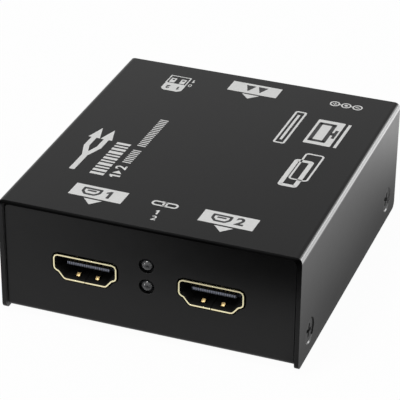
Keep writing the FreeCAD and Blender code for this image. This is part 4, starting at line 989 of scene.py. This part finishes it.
# %% Print: power and switch marks
RING_HALF = 1.2
SWITCH = (-18.4, 29.55)
SWITCH_PLATE = (-18.4, 25.6)
polarity = Mark()
for x in (-2.75, 0.0, 2.75):
    ring = corners(x - RING_HALF, x + RING_HALF, -RING_HALF, RING_HALF)
    polarity.frame(ring, 0.34, 1.15)
polarity.bar(-1.6, -1.15, -0.17, 0.17)
polarity.bar(1.15, 1.6, -0.17, 0.17)
polarity.disc(0, 0, 0.42)
polarity.bar(-3.25, -2.25, -0.16, 0.16)
polarity.bar(2.25, 3.25, -0.16, 0.16)
polarity.bar(2.59, 2.91, -0.5, 0.5)
polarity.lay("print_polarity", 22.6, 31.3, 180)
switch = Mark()
switch.frame(corners(-2.6, 2.6, -2.15, 2.15), 0.3)
switch.bar(-1.9, -0.6, -1.5, 0.8)
switch.bar(0.6, 1.9, -1.5, 0.8)
switch.lay("print_switch_frame", *SWITCH)
levers = Mark().disc(-1.25, 0.05, 0.33).disc(1.25, 0.05, 0.33)
levers.lay("print_switch_levers", *SWITCH, material=gap_ink, over=1)
plate = Mark().shape([(-2.6, -1.0), (-1.8, -1.8), (1.8, -1.8), (2.6, -1.0), (2.6, 1.8),
                      (-2.6, 1.8)], 0.3)
plate.lay("print_switch_plate", *SWITCH_PLATE)
switch_numbers = Mark().one(1.5, x=-1.25).numeral("2", 1.5, x=1.25, bold=0.09)
switch_numbers.lay("print_switch_numbers", *SWITCH_PLATE, 180, gap_ink, 1)
levels = Mark().numeral("0", 1.4, y=1.1).one(1.4, y=-1.1)
levels.lay("print_switch_levels", -14.9, 29.1, 180)

# %% [markdown]
# The floor is white, as in the photograph, and its white is a glow. A floor of
# one brightness would make the painted sides look flat. So in mirror rays alone
# the glow fades in front on the right, and grows from grey to bright away from
# the box's right side, which gives the sides the photograph's soft shading.

# %% Floor: the glow
MOST_MIRRORED = 2.06
floor_material, floor_tree = new_material("white_floor")
floor_shader = floor_tree.nodes["Principled BSDF"]
floor_shader.inputs["Base Color"].default_value = (0.85, 0.85, 0.85, 1)
floor_shader.inputs["Roughness"].default_value = 0.9
floor_shader.inputs["Specular IOR Level"].default_value = 0.0
glow = floor_tree.nodes.new("ShaderNodeEmission")
glow.inputs["Color"].default_value = (1, 1, 1, 1)
floor_x, floor_y, _ = place_of(floor_tree)
to_right = ramp_node(floor_tree, floor_x, -0.06, 0.005, 0.0, 1.0)
to_front = ramp_node(floor_tree, floor_y, -0.078, -0.052, 1.0, 0.0)
front_fade = math_node(floor_tree, "MULTIPLY", to_right, to_front)
front_level = math_node(floor_tree, "MULTIPLY_ADD", front_fade, -0.98, 1.0)
outward = ramp_node(floor_tree, floor_x, 0.036, 0.066, 0.0, 1.0, "LINEAR")
spread = math_node(floor_tree, "POWER", outward, 1.16)
front_lift = ramp_node(floor_tree, floor_y, -0.03, 0.0, 0.43, 0.35)
near_level = math_node(floor_tree, "MULTIPLY_ADD", spread, 1.45, front_lift)
to_rear = ramp_node(floor_tree, floor_y, 0.025, 0.0776, 0.0, 1.0, "LINEAR")
rise = math_node(floor_tree, "POWER", to_rear, 2.8)
open_level = math_node(floor_tree, "ADD", rise, near_level)
side_level = math_node(floor_tree, "MINIMUM", open_level, MOST_MIRRORED)
on_right = ramp_node(floor_tree, floor_x, 0.028, 0.036, 0.0, 1.0)
mirrored = mixed(floor_tree, on_right, front_level, side_level)
floor_path = floor_tree.nodes.new("ShaderNodeLightPath")
floor_level = mixed(floor_tree, floor_path.outputs["Is Camera Ray"], mirrored, 1.0)
floor_tree.links.new(floor_level, glow.inputs["Strength"])
print("nodes of the glow:", len(floor_tree.nodes))

# %% [markdown]
# A glow that every ray sees would also light the box. So only camera, mirror and
# glass rays see it, mixed with a plain matt floor that carries the light and the
# object's shadow. Under the box there is no glow at all, only the plain floor in
# the dark.

# %% Floor: the plain floor and the shadow
FULL_GLOW = 0.97
across = math_node(floor_tree, "ABSOLUTE", floor_x)
along = math_node(floor_tree, "ABSOLUTE", floor_y)
beyond_x = ramp_node(floor_tree, across, 0.0324, 0.0328, 0.0, 1.0)
beyond_y = ramp_node(floor_tree, along, 0.0319, 0.0324, 0.0, 1.0)
open_floor = math_node(floor_tree, "MAXIMUM", beyond_x, beyond_y)
seen_share = math_node(floor_tree, "MULTIPLY", seen_or_mirrored(floor_tree), FULL_GLOW)
share = math_node(floor_tree, "MULTIPLY", seen_share, open_floor)
blend = floor_tree.nodes.new("ShaderNodeMixShader")
floor_tree.links.new(share, blend.inputs["Fac"])
floor_tree.links.new(floor_shader.outputs[0], blend.inputs[1])
floor_tree.links.new(glow.outputs[0], blend.inputs[2])
floor_tree.links.new(blend.outputs[0], floor_tree.nodes["Material Output"].inputs[0])
print("floor nodes:", len(floor_tree.nodes))

# %% [markdown]
# The floor itself is one large square. It lies a hair below the feet, so that the
# two don't fight for the same level.

# %% Floor: the plane
floor_work = bmesh.new()
bmesh.ops.create_grid(floor_work, x_segments=1, y_segments=1, size=3.0)
floor_mesh = bpy.data.meshes.new("floor")
floor_work.to_mesh(floor_mesh)
floor_work.free()
floor_mesh.materials.append(floor_material)
floor = bpy.data.objects.new("floor", floor_mesh)
floor.location = (0, 0, -0.02 * MM)
bpy.context.scene.collection.objects.link(floor)
print("floor, m:", [round(v, 2) for v in floor.dimensions])

# %% [markdown]
# The room is white to the camera too, and lights the object at a plain level. A
# room of one brightness would make the painted sides look flat, so in mirror rays
# alone it fades a little towards its ceiling and glows in front.

# %% Surroundings
world = bpy.data.worlds.new("white_room")
bpy.context.scene.world = world
world.use_nodes = True
world_tree = world.node_tree
room = world_tree.nodes["Background"]
room.inputs["Color"].default_value = (1, 1, 1, 1)
world_place = world_tree.nodes.new("ShaderNodeTexCoord")
direction = world_tree.nodes.new("ShaderNodeSeparateXYZ")
world_tree.links.new(world_place.outputs["Generated"], direction.inputs[0])
to_ceiling = ramp_node(world_tree, direction.outputs["Z"], 0.0, 1.0, 1.0, 0.45)
in_front = ramp_node(world_tree, direction.outputs["Y"], -0.7, -0.2, 1.0, 0.0)
raised = ramp_node(world_tree, direction.outputs["Z"], 0.1, 0.5, 0.0, 1.0)
front_glow = math_node(world_tree, "MULTIPLY", in_front, raised)
ceiling = math_node(world_tree, "MULTIPLY_ADD", front_glow, 1.2, to_ceiling)
world_path = world_tree.nodes.new("ShaderNodeLightPath")
seen = mixed(world_tree, world_path.outputs["Is Camera Ray"], ceiling, 1.0)
room_level = mixed(world_tree, seen_or_mirrored(world_tree), 0.4, seen)
world_tree.links.new(room_level, room.inputs["Strength"])
print("room nodes:", len(world_tree.nodes))

# %% [markdown]
# Three square area lights stand for the soft boxes of a small studio. The one
# above lights the top and the print. The one at the rear right draws the bright
# line along the right bend, and its roll sets where that line ends. The one at
# the front left lights the panel and the rims of the sockets.

# %% Lights
LIGHT_AIM = Vector((0, 0, 0.012))


def soft_light(name, spot, size, power, roll=0):
    """A square area light that looks at the box, turned about its own axis."""
    data = bpy.data.lights.new(name, "AREA")
    data.size = size
    data.energy = power
    lamp = bpy.data.objects.new(name, data)
    lamp.location = spot
    lamp.rotation_mode = "QUATERNION"
    look = LIGHT_AIM - Vector(spot)
    lean = Quaternion((0, 0, 1), math.radians(roll))
    lamp.rotation_quaternion = look.to_track_quat("-Z", "Y") @ lean
    bpy.context.scene.collection.objects.link(lamp)
    print(name, "distance, m:", round(look.length, 2))
    return lamp


soft_light("light_above", (-0.28, -0.53, 1.1), 0.35, 6.0)
soft_light("light_rear_right", (0.68, 0.938, 0.19), 0.3, 0.7, roll=-12)
soft_light("light_front_left", (-0.9, -1.0, 0.2), 0.28, 3.5)
